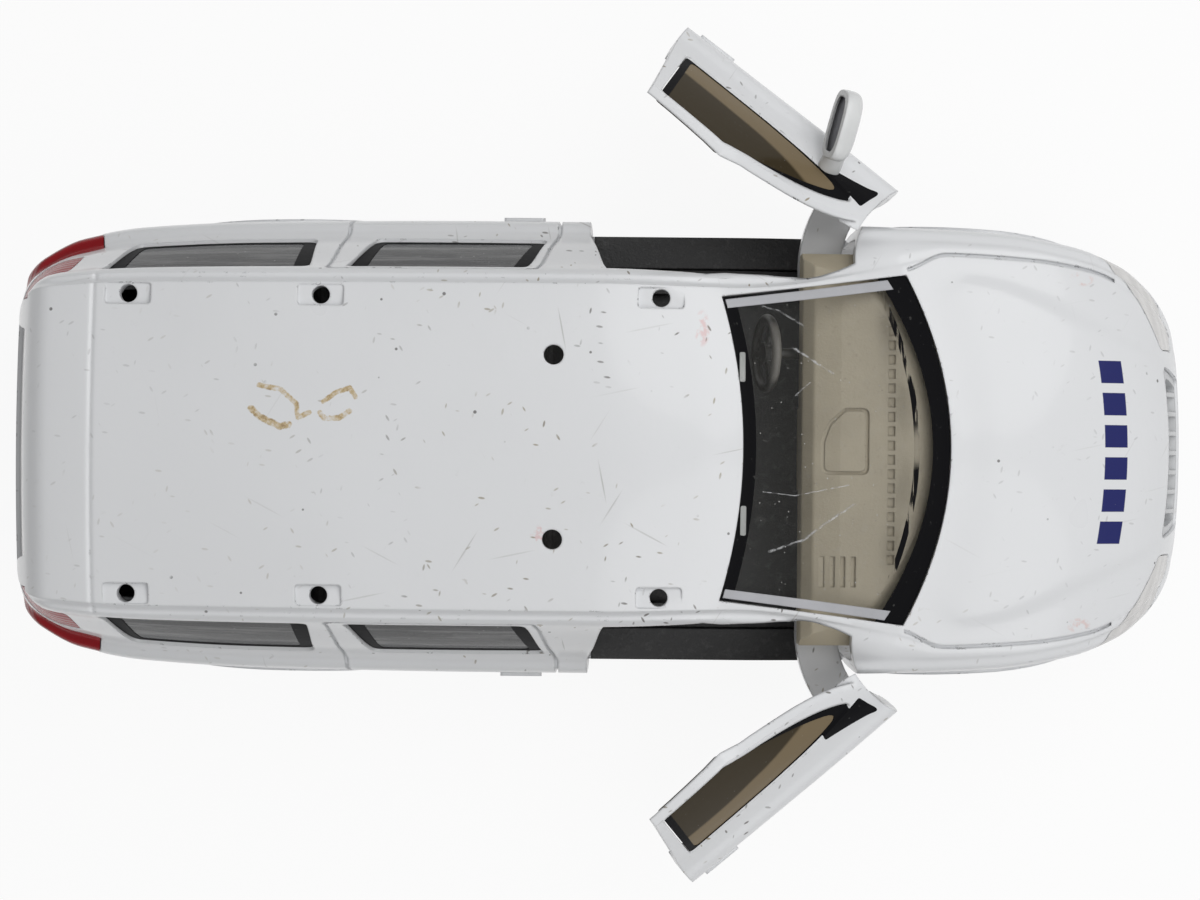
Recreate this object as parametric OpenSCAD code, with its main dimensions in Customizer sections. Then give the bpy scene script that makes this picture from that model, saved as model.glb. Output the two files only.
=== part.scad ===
// Die-cast toy police estate car with two opening front doors and a pull-back motor.
// Millimetres. The origin is on the ground under the middle of the body.
// +X is forward and +Y is the car's left.

/* [Body] */
// Length of the body, bumper to bumper
body_length = 127.5; // [122:0.5:134]
// Width of the body across the shoulders
body_width = 47.8; // [46:0.2:50]
// Height of the roof above the ground
roof_height = 45.2; // [44:0.2:47]
// Height of the shoulder line along the sides
shoulder_height = 28.5; // [28:0.1:29.2]
// Height of the lower edge of the body above the ground
sill_height = 6.5; // [6.2:0.1:7]
// Width of the roof between its two edges
roof_width = 32.8; // [31:0.2:34]
// Wall of the body casting
wall = 1.4; // [1.2:0.1:1.6]
// How far the wheel arch lips stand out from the sides
arch_lip = 0.45; // [0.2:0.05:0.6]

/* [Roof holes] */
// Place of the two light bar holes along a car of the standard length
light_bar_place = -4.7; // [-8:0.1:0]
// Distance between the two light bar holes
light_bar_spacing = 18.4; // [14:0.1:22]
// Diameter of the light bar holes
light_bar_hole = 2; // [1.6:0.1:2.4]
// Place of the front pair of rail holes along a car of the standard length
rail_front_place = 6; // [3:0.1:8]
// Distance from the rear to the middle pair of rail holes
rail_pitch = 19.3; // [17:0.1:21]
// Distance from the front to the middle pair of rail holes
rail_gap = 34; // [31:0.1:35]
// Distance between the left and right rail holes
rail_spacing = 30; // [29:0.1:30.6]
// Diameter of the rail holes
rail_hole = 1.8; // [1.4:0.1:2]

/* [Doors] */
// Place of the door hinges along a car of the standard length
hinge_place = 35; // [34.6:0.1:35.6]
// Distance of the door hinges inside the widest line of the body
hinge_inset = 4.4; // [4.1:0.1:4.9]
// Radius of the round front edge of the doors about the hinge
door_edge_r = 8.8; // [8.6:0.1:9]
// Gap round the doors
door_gap = 0.25; // [0.2:0.05:0.35]
// Wall of the door casting
door_wall = 1.2; // [1:0.1:1.4]
// Radius of the hinge trunnions
trunnion_r = 1; // [0.8:0.05:1.1]
// How far the left door stands open, in degrees
left_open = 37; // [0:1:48]
// How far the right door stands open, in degrees
right_open = 40; // [0:1:48]

/* [Wheels] */
// Diameter over the tyres
wheel_dia = 19; // [18:0.1:19.4]
// Width of the tyres
tyre_width = 6.6; // [6:0.1:7]
// Diameter of the wheel hubs
hub_dia = 12.6; // [11.6:0.1:13.2]
// Distance of the tyres inside the widest line of the body
wheel_inset = 1.3; // [1:0.1:1.6]
// Diameter of the steel axles
axle_dia = 1.8; // [1.6:0.1:2]
// Place of the front axle along a car of the standard length
front_axle_place = 41; // [40.4:0.1:42]
// Place of the rear axle along a car of the standard length
rear_axle_place = -34.5; // [-35.5:0.1:-33.5]

/* [Base] */
// Thickness of the base plate
plate_t = 1.6; // [1.4:0.1:2]
// Outer diameter of the screw posts
post_dia = 4.6; // [4.2:0.1:5]
// Diameter of the base screws
screw_dia = 1.8; // [1.6:0.1:2]
// Diameter of the screw heads
screw_head = 3.8; // [3.4:0.1:4.2]

/* [Cabin] */
// Wall of the interior tub
tub_wall = 1; // [0.8:0.1:1.2]
// Diameter of the steering wheel
steering_dia = 8.4; // [7.4:0.1:9]
// Thickness of the window panes
glass_t = 0.9; // [0.7:0.1:1.1]

/* [Motor] */
// Module of the motor gears
gear_module = 0.35; // [0.33:0.01:0.36]
// Teeth of the pinion on the rear axle
pinion_teeth = 16; // [14:1:17]
// Teeth of the spring barrel
barrel_teeth = 28; // [26:1:29]

/* [Hidden] */
// Clearances
run_fit = 0.05;
press_fit = 0.01;
seat_fit = 0.15;
pane_fit = 0.1;

// Overall places
half_l = body_length / 2;
half_w = body_width / 2;
roof_y = roof_width / 2;
axle_r = axle_dia / 2;
wheel_r = wheel_dia / 2;
axle_z = wheel_r;
arch_r = wheel_r + 1.2;
track = body_width - 2 * wheel_inset - tyre_width;
tyre_in = track / 2 - tyre_width / 2;
arch_in = tyre_in - 3;
seam_depth = 0.35;

// Places along the car move with its length
standard_length = 127.5;
function at_x(place) = place * body_length / standard_length;
roof_front_x = at_x(12.2);
screen_base_x = at_x(31.5);
tailgate_seam_x = at_x(-50.8);
hinge_x = at_x(hinge_place);
hinge_y = half_w - hinge_inset;
front_axle_x = at_x(front_axle_place);
rear_axle_x = at_x(rear_axle_place);
light_bar_x = at_x(light_bar_place);
rail_front_x = at_x(rail_front_place);
rail_mid_x = at_x(rail_front_place - rail_gap);
rail_rear_x = at_x(rail_front_place - rail_gap - rail_pitch);

// Heights on the flanks are parts of the height from the sill to the shoulder
function side_z(part) = sill_height + part * (shoulder_height - sill_height);
glasshouse = roof_height - shoulder_height;
window_top = roof_height - 0.25 * glasshouse;
window_base = shoulder_height + 0.15 * glasshouse;
window_h = window_top - window_base;
bonnet_z = side_z(1.123);

// Plan outline: place along the car, half width at the shoulder
plan_line = [
    [-half_l, half_w - 11.9], [-half_l + 0.75, half_w - 8.7], [-half_l + 2.25, half_w - 6.3],
    [-half_l + 4.75, half_w - 4.3], [-half_l + 8.75, half_w - 2.3], [-half_l + 15.75, half_w - 1],
    [at_x(-35), half_w - 0.3], [at_x(-10), half_w], [at_x(15), half_w], [at_x(30), half_w - 0.2],
    [half_l - 21.75, half_w - 0.7], [half_l - 13.75, half_w - 1.9], [half_l - 7.75, half_w - 3.9],
    [half_l - 3.75, half_w - 6.9], [half_l - 1.25, half_w - 10.4], [half_l, half_w - 14.9]];
// Height along the middle of the tailgate, roof, windscreen, bonnet and nose
spine_line = [
    [-half_l, side_z(0.477)], [-half_l + 0.55, side_z(0.614)], [-half_l + 1.45, side_z(0.841)],
    [-half_l + 2.95, window_base + 1], [-half_l + 4.95, roof_height - 0.37 * glasshouse],
    [-half_l + 6.55, roof_height - 2.6], [-half_l + 8.25, roof_height - 1.3], [at_x(-50), roof_height - 0.6],
    [at_x(-25), roof_height], [0, roof_height - 0.2], [at_x(8), roof_height - 0.9],
    [roof_front_x, roof_height - 2], [roof_front_x + 1.8, roof_height - 3.1],
    [screen_base_x - 2, bonnet_z + 1.2], [screen_base_x, bonnet_z],
    [half_l - 18.75, side_z(1.032)], [half_l - 9.25, side_z(0.923)], [half_l - 4.4, side_z(0.805)],
    [half_l - 2.1, side_z(0.682)], [half_l - 0.65, side_z(0.545)], [half_l, side_z(0.409)]];
// How far the edge of the roof or bonnet lies below its middle
crown_line = [
    [-half_l, 1], [-half_l + 6.75, 1.3], [at_x(-45), 1.6], [0, 1.7], [roof_front_x, 1.5], [at_x(22), 2.3],
    [screen_base_x, 1.3], [half_l - 18.75, 1.5], [half_l - 7.75, 1.6], [half_l - 1.75, 1.6], [half_l, 0.8]];
// Half width of the roof, windscreen and bonnet
edge_line = [
    [-half_l, half_w - 14.9], [-half_l + 1.45, half_w - 11.9], [-half_l + 3.75, roof_y - 2.2],
    [-half_l + 7.75, roof_y - 0.8], [at_x(-45), roof_y - 0.2], [0, roof_y], [roof_front_x, roof_y - 0.2],
    [screen_base_x, half_w - 4.6], [at_x(36), half_w - 3.5], [half_l - 18.75, half_w - 3.9],
    [half_l - 11.75, half_w - 4.9],
    [half_l - 6.75, half_w - 7.1], [half_l - 3.75, half_w - 9.7], [half_l - 1.25, half_w - 13.4],
    [half_l, half_w - 17.4]];
// Height of the shoulder
shoulder_line = [
    [-half_l, side_z(0.364)], [-half_l + 0.55, side_z(0.477)], [-half_l + 1.45, side_z(0.659)],
    [-half_l + 2.95, side_z(0.909)], [-half_l + 4.95, shoulder_height], [at_x(-50), shoulder_height + 0.5],
    [0, shoulder_height], [at_x(30), shoulder_height - 0.5], [half_l - 18.75, side_z(0.923)],
    [half_l - 11.75, side_z(0.85)], [half_l - 6.75, side_z(0.732)], [half_l - 3.75, side_z(0.623)],
    [half_l - 1.75, side_z(0.523)], [half_l - 0.55, side_z(0.423)], [half_l, side_z(0.341)]];
// Height of the lower edge
sill_line = [
    [-half_l, sill_height + 4], [-half_l + 1.75, sill_height + 2], [-half_l + 5.75, sill_height + 0.7],
    [-half_l + 13.75, sill_height], [half_l - 13.75, sill_height], [half_l - 5.75, sill_height + 0.7],
    [half_l - 1.75, sill_height + 2], [half_l, sill_height + 4]];
// How far the middle of the roof edge, windscreen and bonnet bows forward of its corners
bow_line = [
    [-half_l, 0], [0, 0], [roof_front_x, 2.5], [screen_base_x, 5.2], [half_l - 18.75, 3],
    [half_l - 5.75, 1], [half_l, 0]];
// Where the roof gutters run, from 0 to 1
gutter_line = [
    [-half_l, 0], [at_x(-59), 0], [at_x(-54), 1], [roof_front_x, 1], [screen_base_x, 0], [half_l, 0]];
// Height of the raised middle of the bonnet
ridge_line = [
    [-half_l, 0], [screen_base_x, 0], [at_x(38), 0.35], [half_l - 7.75, 0.3], [half_l - 2.75, 0], [half_l, 0]];
// Edge of that raised middle, as a part of the half width
fold_line = [[-half_l, 0.8], [screen_base_x, 0.8], [at_x(38), 0.88], [half_l - 7.75, 0.66], [half_l, 0.66]];
// Lower side of a cross-section: part of the height from sill to shoulder, offset from the plan outline
flank = [[0, -1], [0.12, 0.1], [0.32, 0.35], [0.55, 0.35], [0.78, 0.2], [0.93, 0]];
// Drop of the open underside of an inner skin below the sill
open_drop = 4;

// Smooth curve through the points of a line, with no overshoot
function secant(pts, i) = (pts[i + 1].y - pts[i].y) / (pts[i + 1].x - pts[i].x);
function joined_slope(a, b) = a * b <= 0 ? 0 : 2 * a * b / (a + b);
function slope_at(pts, i) =
    i == 0 ? secant(pts, 0) :
    i == len(pts) - 1 ? secant(pts, i - 1) :
    joined_slope(secant(pts, i - 1), secant(pts, i));
function span_of(x, pts, i = 0) = i >= len(pts) - 2 || x < pts[i + 1].x ? i : span_of(x, pts, i + 1);
function curve(x, pts) =
    let (i = span_of(x, pts),
         h = pts[i + 1].x - pts[i].x,
         t = (x - pts[i].x) / h,
         m = slope_at(pts, i) * h,
         n = slope_at(pts, i + 1) * h)
    (2 * t ^ 3 - 3 * t ^ 2 + 1) * pts[i].y + (t ^ 3 - 2 * t ^ 2 + t) * m
    + (3 * t ^ 2 - 2 * t ^ 3) * pts[i + 1].y + (t ^ 3 - t ^ 2) * n;

// Stations along the car, close together at the ends and at the tailgate seam
function spread(a, b, n) = [for (i = [1:n]) a + (b - a) * i / n];
tail_run = 9;
nose_run = 14;
stations = concat(
    [for (i = [0:8]) -half_l + tail_run * (1 - cos(11.25 * i))],
    [for (s = [-1, 0, 1]) tailgate_seam_x + s * seam_depth],
    spread(tailgate_seam_x + seam_depth, roof_front_x, 9),
    spread(roof_front_x, screen_base_x, 6),
    spread(screen_base_x, half_l - nose_run, 4),
    [for (i = [7:-1:0]) half_l - nose_run * (1 - cos(11.25 * i))]);

// Points of the left half of one cross-section, set in by d, from the sill to the middle of the roof
function half_section(xs, d) =
    let (p = curve(xs, plan_line) - d,
         zs = curve(xs, shoulder_line),
         z0 = curve(xs, sill_line),
         seam = d == 0 && abs(xs - tailgate_seam_x) < 0.01 ? seam_depth : 0,
         zc = curve(xs, spine_line) - seam,
         s0 = [p + d - 1.4, zs + 0.45],
         e0 = [curve(xs, edge_line), zc - curve(xs, crown_line)],
         u = (e0 - s0) / norm(e0 - s0),
         s = s0 + d * [-1, u.x],
         e = e0 - d * [0.8 * u.y, 1],
         g = d == 0 ? curve(xs, gutter_line) : 0,
         ridge = d == 0 ? curve(xs, ridge_line) : 0,
         fold = curve(xs, fold_line),
         low = d > 0 ? sill_height - open_drop : z0,
         side = [for (w = flank) [p + w.y, w.x == 0 ? low : z0 + w.x * (zs - z0)]],
         glass = [for (w = [0.33, 0.67]) s + w * (e - s) + [0.25, 0.1]],
         gutter = [for (w = [[0.95, 0.1], [0.55, 0.05]]) e + g * [w.x, -0.95] + (1 - g) * w.y * (s - e)],
         rise = zc - d - e.y,
         top = [for (w = [fold, fold / 2, 0]) [w * e.x, e.y + rise * (1 - w * w) + ridge]],
         bow = curve(xs, bow_line),
         x0 = xs * (1 - d / half_l))
    concat(
        [for (q = concat(side, [[p - 0.45, zs - 0.1 + d * u.x / 2], s], glass, gutter, [e])) [x0, q.x, q.y]],
        [for (q = top) [x0 + bow * (1 - (q.x / e.x) ^ 2), q.x, q.y]]);

// Points of a cross-section that a plainer inner skin keeps
inner_points = [0, 2, 4, 6, 7, 12, 14, 15];
function ring(xs, d, plain) =
    let (all = half_section(xs, d),
         h = plain ? [for (i = inner_points) all[i]] : all)
    concat(h, [for (i = [len(h) - 2:-1:0]) [h[i].x, -h[i].y, h[i].z]]);

// Closed solid of the body's form, set in by d
module loft(d, plain = false) {
    rings = [for (i = [0:plain ? 2 : 1:len(stations) - 1]) ring(stations[i], d, plain)];
    m = len(rings);
    n = len(rings[0]);
    mids = [for (r = [rings[0], rings[m - 1]]) [r[0].x, 0, (r[0].z + r[(n - 1) / 2].z) / 2]];
    left = [for (i = [0:m - 2], k = [0:(n - 3) / 2]) [i * n + k, i * n + k + 1]];
    right = [for (i = [0:m - 2], k = [(n - 1) / 2:n - 1]) [i * n + k, i * n + (k + 1) % n]];
    polyhedron(
        concat([for (r = rings) each r], mids),
        concat(
            [for (c = left) each [[c.x, c.y + n, c.y], [c.x, c.x + n, c.y + n]]],
            [for (c = right) each [[c.x, c.x + n, c.y], [c.x + n, c.y + n, c.y]]],
            [for (k = [0:n - 1]) [m * n, k, (k + 1) % n]],
            [for (k = [0:n - 1]) [m * n + 1, (m - 1) * n + (k + 1) % n, (m - 1) * n + k]]));
}

// Skin between two depths below the outer form
module band(d0, d1, inside = false) {
    difference() {
        loft(d0, plain = inside);
        loft(d1, plain = true);
    }
}

// Joins a freeform piece into one mesh
module freeform() {
    resize([0, 0, 0]) children();
}

// Outline in X and Z carried across the car, from y0 to y1
module across(y0, y1) {
    translate([0, y1, 0]) rotate([90, 0, 0]) linear_extrude(y1 - y0) children();
}

// Outline in Y and Z carried along the car, from x0 to x1
module along(x0, x1) {
    translate([x0, 0, 0]) rotate([90, 0, 90]) linear_extrude(x1 - x0) children();
}

module both_sides() {
    children();
    mirror([0, 1, 0]) children();
}

module on_side(side) {
    mirror([0, side < 0 ? 1 : 0, 0]) children();
}

module rounded(r) {
    offset(r, $fn = 16) offset(-r) children();
}

// Cylinder along Y, at height axle_z above place x
module axle_bar(x, z, r, y0, y1) {
    translate([x, y1, z]) rotate([90, 0, 0]) cylinder(r = r, h = y1 - y0, $fn = 64);
}

// Outlines of the openings
side_reach = half_w + 6;
window_r = 1;
module quarter_window(grow = 0) {
    offset(delta = grow) rounded(window_r)
        polygon([
            [tailgate_seam_x, window_top], [at_x(-29.5), window_top], [at_x(-29.6), window_base],
            [at_x(-48.4), window_base]]);
}

module rear_door_window(grow = 0) {
    offset(delta = grow) rounded(window_r)
        polygon([
            [at_x(-26.1), window_top], [at_x(-7.6), window_top], [at_x(-5.5), window_base],
            [at_x(-23.4), window_base]]);
}

door_rear_x = at_x(-1);
door_sill = sill_height + 2;
door_top = window_top - 0.1;
pillar_foot = [at_x(26.9), window_base + 0.2];
module door_outline(shrink = 0) {
    offset(delta = -shrink)
        polygon([
            [door_rear_x, door_sill], [door_rear_x - 0.2, shoulder_height + 0.5],
            [door_rear_x - 2.2, door_top],
            [roof_front_x - 1.7, door_top], pillar_foot, [hinge_x - 5, shoulder_height + 0.5],
            [hinge_x - 5, door_sill]]);
}

module door_window(grow = 0) {
    offset(delta = grow) rounded(0.6)
        polygon([
            [door_rear_x + 1.8, window_base - 0.2], [door_rear_x - 0.2, window_top - 1.8],
            [roof_front_x - 2.2, window_top - 1.6], [pillar_foot.x - 3.6, window_base + 0.2]]);
}

// Windscreen in plan: it can grow at its curved ends and at its straight sides
screen_margin = 0.9;
screen_bow = [2.5, 5.2];
screen_half = [roof_y - 0.2, half_w - 4.6];
function screen_x(x, i, y) = x + screen_bow[i] * (1 - (y / screen_half[i]) ^ 2);
module screen_prism(ends = 0, sides = 0) {
    top_x = roof_front_x + screen_margin - ends;
    foot_x = screen_base_x - screen_margin + ends;
    y = [for (h = screen_half) h - screen_margin + sides];
    steps = [-1:0.125:1];
    translate([0, 0, shoulder_height]) linear_extrude(roof_height) polygon(concat(
        [for (t = steps) [screen_x(top_x, 0, t * y[0]), t * y[0]]],
        [for (t = steps) [screen_x(foot_x, 1, t * y[1]), -t * y[1]]]));
}

module rear_window(grow = 0) {
    offset(delta = grow) rounded(1.5)
        polygon([
            [4 - roof_y, window_base - 0.5], [roof_y - 4, window_base - 0.5], [roof_y - 5, window_top - 0.8],
            [5 - roof_y, window_top - 0.8]]);
}

module rear_window_prism(grow = 0) {
    along(-half_l - 1, tailgate_seam_x - 3) rear_window(grow);
}

lamp_in = half_w - 12.9;
module headlamp_prism(grow = 0) {
    on_nose = [half_l - 12, half_l];
    along(on_nose[0] - grow, on_nose[1])
        offset(delta = grow) rounded(0.8)
            polygon([
                [lamp_in, side_z(0.577)], [lamp_in, side_z(0.732)], [lamp_in + 7, side_z(0.805)],
                [side_reach, side_z(0.805)], [side_reach, side_z(0.632)]]);
}

tail_lamp_y = roof_y - 1.8;
lamp_low = side_z(0.727);
function on_glass(part) = window_base + part * window_h;
module tail_lamp_prism(grow = 0) {
    across(tail_lamp_y - grow, side_reach) offset(delta = grow) {
        rounded(0.6) polygon([
            [-half_l - 1, on_glass(0.26)], [at_x(-53.4), on_glass(0.26)], [at_x(-54.2), on_glass(0.86)],
            [-half_l - 1, on_glass(0.86)]]);
        rounded(0.6) polygon([
            [-half_l - 1, lamp_low], [at_x(-54), lamp_low], [at_x(-51.9), window_base - 0.2],
            [-half_l - 1, on_glass(0.1)]]);
    }
}

grille_half = half_w - 14.5;
grille_z = [side_z(0.486), side_z(0.741)];
module grille_prism(grow = 0) {
    along(half_l - 7, half_l + 1)
        offset(delta = grow) rounded(0.8)
            polygon([
                [-grille_half, grille_z[1]], [1.6 - grille_half, grille_z[0]],
                [grille_half - 1.6, grille_z[0]], [grille_half, grille_z[1]]]);
}

// Heights of the hinge: the tub's ear, the door's arm and the body's boss lie one above the other
hinge_room = shoulder_height - wheel_dia;
ear_z = wheel_dia + 0.05 * hinge_room;
arm_z = ear_z + 0.137 * hinge_room;
arm_top = arm_z + 0.274 * hinge_room;
boss_z = arm_top + 0.032 * hinge_room;
boss_r = trunnion_r + 1.2;
hinge_gap = 0.25;
trunnion_top = boss_z + 3.2;

module at_hinge() {
    translate([hinge_x, hinge_y, 0]) children();
}

// Light bar and rail holes in the roof
rail_xs = [rail_rear_x, rail_mid_x, rail_front_x];
pad_size = [4.6, 2.1];
pad_depth = 0.3;
function roof_z(x, y) = curve(x, spine_line) - curve(x, crown_line) * (y / curve(x, edge_line)) ^ 2;

module roof_pads() {
    for (x = rail_xs, s = [-1, 1]) {
        y = s * rail_spacing / 2;
        translate([x, y, roof_z(x, y) - pad_depth + 2])
            cube([pad_size.x, pad_size.y, 4], center = true);
    }
}

module roof_bores() {
    for (s = [-1, 1]) {
        translate([light_bar_x, s * light_bar_spacing / 2, window_top])
            cylinder(d = light_bar_hole, h = 8, $fn = 48);
        for (x = rail_xs)
            translate([x, s * rail_spacing / 2, window_top]) cylinder(d = rail_hole, h = 8, $fn = 48);
    }
}

// Base screws and the posts that take them
post_front_x = half_l - 9.5;
post_rear_x = -half_l + 11.5;
post_xs = [post_front_x, post_rear_x];
plate_z = sill_height - 0.5;
plate_top = plate_z + plate_t;
post_z = plate_top + seat_fit;
post_bore_h = 9;
rear_post_top = wheel_dia - 0.8;
web_z = sill_height + 5.5;

module posts() {
    intersection() {
        loft(wall / 2, plain = true);
        union() {
            translate([post_front_x, 0, post_z]) cylinder(d = post_dia, h = 30, $fn = 24);
            translate([post_rear_x, 0, post_z]) cylinder(d = post_dia, h = rear_post_top - post_z, $fn = 24);
            translate([-half_l, -post_dia / 4, web_z])
                cube([post_rear_x + half_l, post_dia / 2, rear_post_top - web_z]);
            both_sides() at_hinge() translate([0, 0, boss_z]) cylinder(r = boss_r, h = 20, $fn = 24);
        }
    }
}

// Fine lines cut in the casting where the real car has panel gaps, and its blank plate recesses
seam_w = 0.35;
bumper_seam_z = [side_z(0.45), side_z(0.405)];
plate_recess = [13, 3.4];
plate_recess_z = [side_z(0.75), side_z(0.223)];
bonnet_steps = 7;

module seam_line() {
    difference() {
        children();
        offset(delta = -seam_w) children();
    }
}

module rear_door_outline() {
    difference() {
        polygon([
            [door_rear_x - 3, door_sill], [door_rear_x - 3.2, shoulder_height + 0.5],
            [door_rear_x - 5.4, window_top + 0.8], [at_x(-27.9), window_top + 0.8],
            [at_x(-26.6), shoulder_height], [at_x(-24.4), side_z(0.614)], [at_x(-21), door_sill]]);
        translate([rear_axle_x, axle_z]) circle(r = arch_r + 2, $fn = 64);
    }
}

module bonnet_seam() {
    xs = [for (i = [0:bonnet_steps]) screen_base_x + 1.5 + (half_l - 8 - screen_base_x) * i / bonnet_steps];
    edge = [for (x = xs) [x, curve(x, edge_line) + 0.45]];
    translate([0, 0, grille_z[0]]) linear_extrude(roof_height) polygon(concat(
        edge, [for (i = [bonnet_steps:-1:0]) edge[i] - [0, seam_w]]));
}

module panel_lines() {
    intersection() {
        difference() {
            loft(-0.5, plain = true);
            loft(seam_depth);
        }
        union() {
            both_sides() {
                across(12, side_reach) seam_line() rear_door_outline();
                bonnet_seam();
            }
            translate([-half_l - 1, -side_reach, bumper_seam_z[0]]) cube([16, 2 * side_reach, seam_w]);
            translate([half_l - 13, -side_reach, bumper_seam_z[1]]) cube([14, 2 * side_reach, seam_w]);
            translate([-half_l - 1, -plate_recess.x / 2, plate_recess_z[0]])
                cube([8, plate_recess.x, plate_recess.y]);
            translate([half_l - 7, -plate_recess.x / 2, plate_recess_z[1]])
                cube([8, plate_recess.x, plate_recess.y - 0.4]);
        }
    }
}

handle_z = shoulder_height - 3.6;
handle_size = [4.4, 1];
module handle(x) {
    intersection() {
        difference() {
            loft(-0.45, plain = true);
            loft(door_wall / 2, plain = true);
        }
        across(12, side_reach) translate([x, handle_z])
            rounded(0.4) square([handle_size.x, handle_size.y]);
    }
}

// Wheel arch on the left side
module arch(x, grow) {
    across(arch_in, side_reach) translate([x, axle_z]) circle(r = arch_r + grow, $fn = 40);
}

module body_openings() {
    both_sides() {
        across(12, side_reach) {
            quarter_window();
            rear_door_window();
        }
        difference() {
            across(12, side_reach) door_outline();
            at_hinge() cylinder(r = door_edge_r - door_gap, h = 60, $fn = 56);
        }
        headlamp_prism();
        tail_lamp_prism();
        for (x = [front_axle_x, rear_axle_x]) arch(x, 0);
    }
    screen_prism();
    rear_window_prism();
    grille_prism();
    roof_pads();
    panel_lines();
}

module arch_lips() {
    intersection() {
        difference() {
            loft(-arch_lip, plain = true);
            loft(wall / 2, plain = true);
        }
        both_sides() for (x = [front_axle_x, rear_axle_x]) arch(x, 1.3);
        translate([-half_l, -side_reach, sill_height]) cube([body_length, 2 * side_reach, roof_height]);
    }
}

module body_shell() {
    color("white")
        difference() {
            freeform() {
                difference() {
                    union() {
                        band(0, wall);
                        arch_lips();
                    }
                    body_openings();
                }
                both_sides() handle(door_rear_x - 9.4);
                posts();
            }
            roof_bores();
            both_sides() at_hinge() translate([0, 0, boss_z - 1])
                cylinder(r = trunnion_r + run_fit, h = trunnion_top - boss_z + 1.3, $fn = 48);
            for (x = post_xs) translate([x, 0, post_z - 1])
                cylinder(d = screw_dia + 2 * press_fit, h = post_bore_h + 1, $fn = 48);
        }
}

// A pane fills its opening from behind and has a flange inside the casting
pane_d = 0.35;
flange_d = wall + 0.12;
flange_w = 0.9;
module pane_skin() {
    band(pane_d, flange_d + 0.3);
}

module flange_skin() {
    band(flange_d, flange_d + glass_t, inside = true);
}

module windscreen() {
    color([0.75, 0.78, 0.78, 0.4])
        freeform() {
            intersection() {
                pane_skin();
                screen_prism(-pane_fit, -pane_fit);
            }
            intersection() {
                flange_skin();
                screen_prism(flange_w, -pane_fit);
            }
        }
}

module rear_glass() {
    color([0.45, 0.47, 0.48, 0.5])
        freeform() {
            intersection() {
                pane_skin();
                rear_window_prism(-pane_fit);
            }
            intersection() {
                flange_skin();
                rear_window_prism(flange_w);
            }
        }
}

// The side windows leave room for the pegs of the roof rails
peg_room = 3;
module side_glass() {
    color([0.45, 0.47, 0.48, 0.5])
        difference() {
            freeform() {
                intersection() {
                    pane_skin();
                    across(12, side_reach) {
                        quarter_window(-pane_fit);
                        rear_door_window(-pane_fit);
                    }
                }
                intersection() {
                    flange_skin();
                    across(12, side_reach) hull() {
                        quarter_window(flange_w / 2);
                        rear_door_window(flange_w / 2);
                    }
                }
            }
            for (x = [rail_rear_x, rail_mid_x]) translate([x, rail_spacing / 2, window_top - peg_room])
                cylinder(d = rail_hole + 2 * seat_fit, h = 8, $fn = 48);
        }
}

module left_side_glass() {
    side_glass();
}

module right_side_glass() {
    mirror([0, 1, 0]) side_glass();
}

lens_t = 1.2;
module headlamp() {
    color([0.85, 0.87, 0.88, 0.7])
        freeform() intersection() {
            band(0.05, lens_t);
            headlamp_prism(-pane_fit);
        }
}

module left_headlamp() {
    headlamp();
}

module right_headlamp() {
    mirror([0, 1, 0]) headlamp();
}

module tail_lamp() {
    color([0.75, 0.08, 0.1])
        freeform() {
            intersection() {
                band(0.05, flange_d + 0.3);
                tail_lamp_prism(-pane_fit);
            }
            intersection() {
                flange_skin();
                across(tail_lamp_y - 0.3, side_reach)
                    polygon([
                        [-half_l, lamp_low + 1.5], [at_x(-55), lamp_low + 1.5], [at_x(-55), on_glass(0.76)],
                        [-half_l, on_glass(0.76)]]);
            }
        }
}

module left_tail_lamp() {
    tail_lamp();
}

module right_tail_lamp() {
    mirror([0, 1, 0]) tail_lamp();
}

grille_bars = 9;
module grille() {
    pitch = 2 * (grille_half - 1) / (grille_bars - 1);
    color("dimgray")
        freeform() {
            intersection() {
                band(0.3, 1.3, inside = true);
                difference() {
                    grille_prism(-pane_fit);
                    difference() {
                        grille_prism(-0.9);
                        for (i = [0:grille_bars - 1])
                            translate([0, (i - (grille_bars - 1) / 2) * pitch - 0.25, 0])
                                cube([half_l + 1, 0.5, roof_height]);
                    }
                }
            }
            intersection() {
                band(1.2, 2.2, inside = true);
                grille_prism(-pane_fit);
            }
        }
}

// Base plate: its edge follows the inside of the body
plate_end = half_l - wall - 1.2;
plate_steps = 24;
plate_fit = 0.3;
carrier_y = [tyre_in - 5, tyre_in - 2.6];
carrier_r = 2.4;
well_y = tyre_in - 1.8;
well_half = wheel_r + 1.4;
motor_fit = 0.25;

// Pull-back motor
pinion_r = gear_module * pinion_teeth / 2;
barrel_r = gear_module * barrel_teeth / 2;
gear_distance = pinion_r + barrel_r;
barrel_x = rear_axle_x + gear_distance * cos(8);
barrel_z = axle_z + gear_distance * sin(8);
tip_height = 0.8 * gear_module;
root_depth = 1.15 * gear_module;
backlash = 0.07;
gear_t = 2.2;
case_wall = 0.8;
case_half = 6;
case_r = barrel_r + tip_height + 0.6 + case_wall;
case_axle_r = pinion_r + tip_height + 0.6 + case_wall;
barrel_shaft_r = 0.7;
tab_size = [3, 7, 1];

function plate_y(x) = curve(x / (1 - wall / half_l), plan_line) - 1 - wall - plate_fit;

module case_outline(set_in = 0) {
    hull() {
        translate([rear_axle_x, axle_z]) circle(r = case_axle_r - set_in, $fn = 48);
        translate([barrel_x, barrel_z]) circle(r = case_r - set_in, $fn = 48);
    }
}

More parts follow.
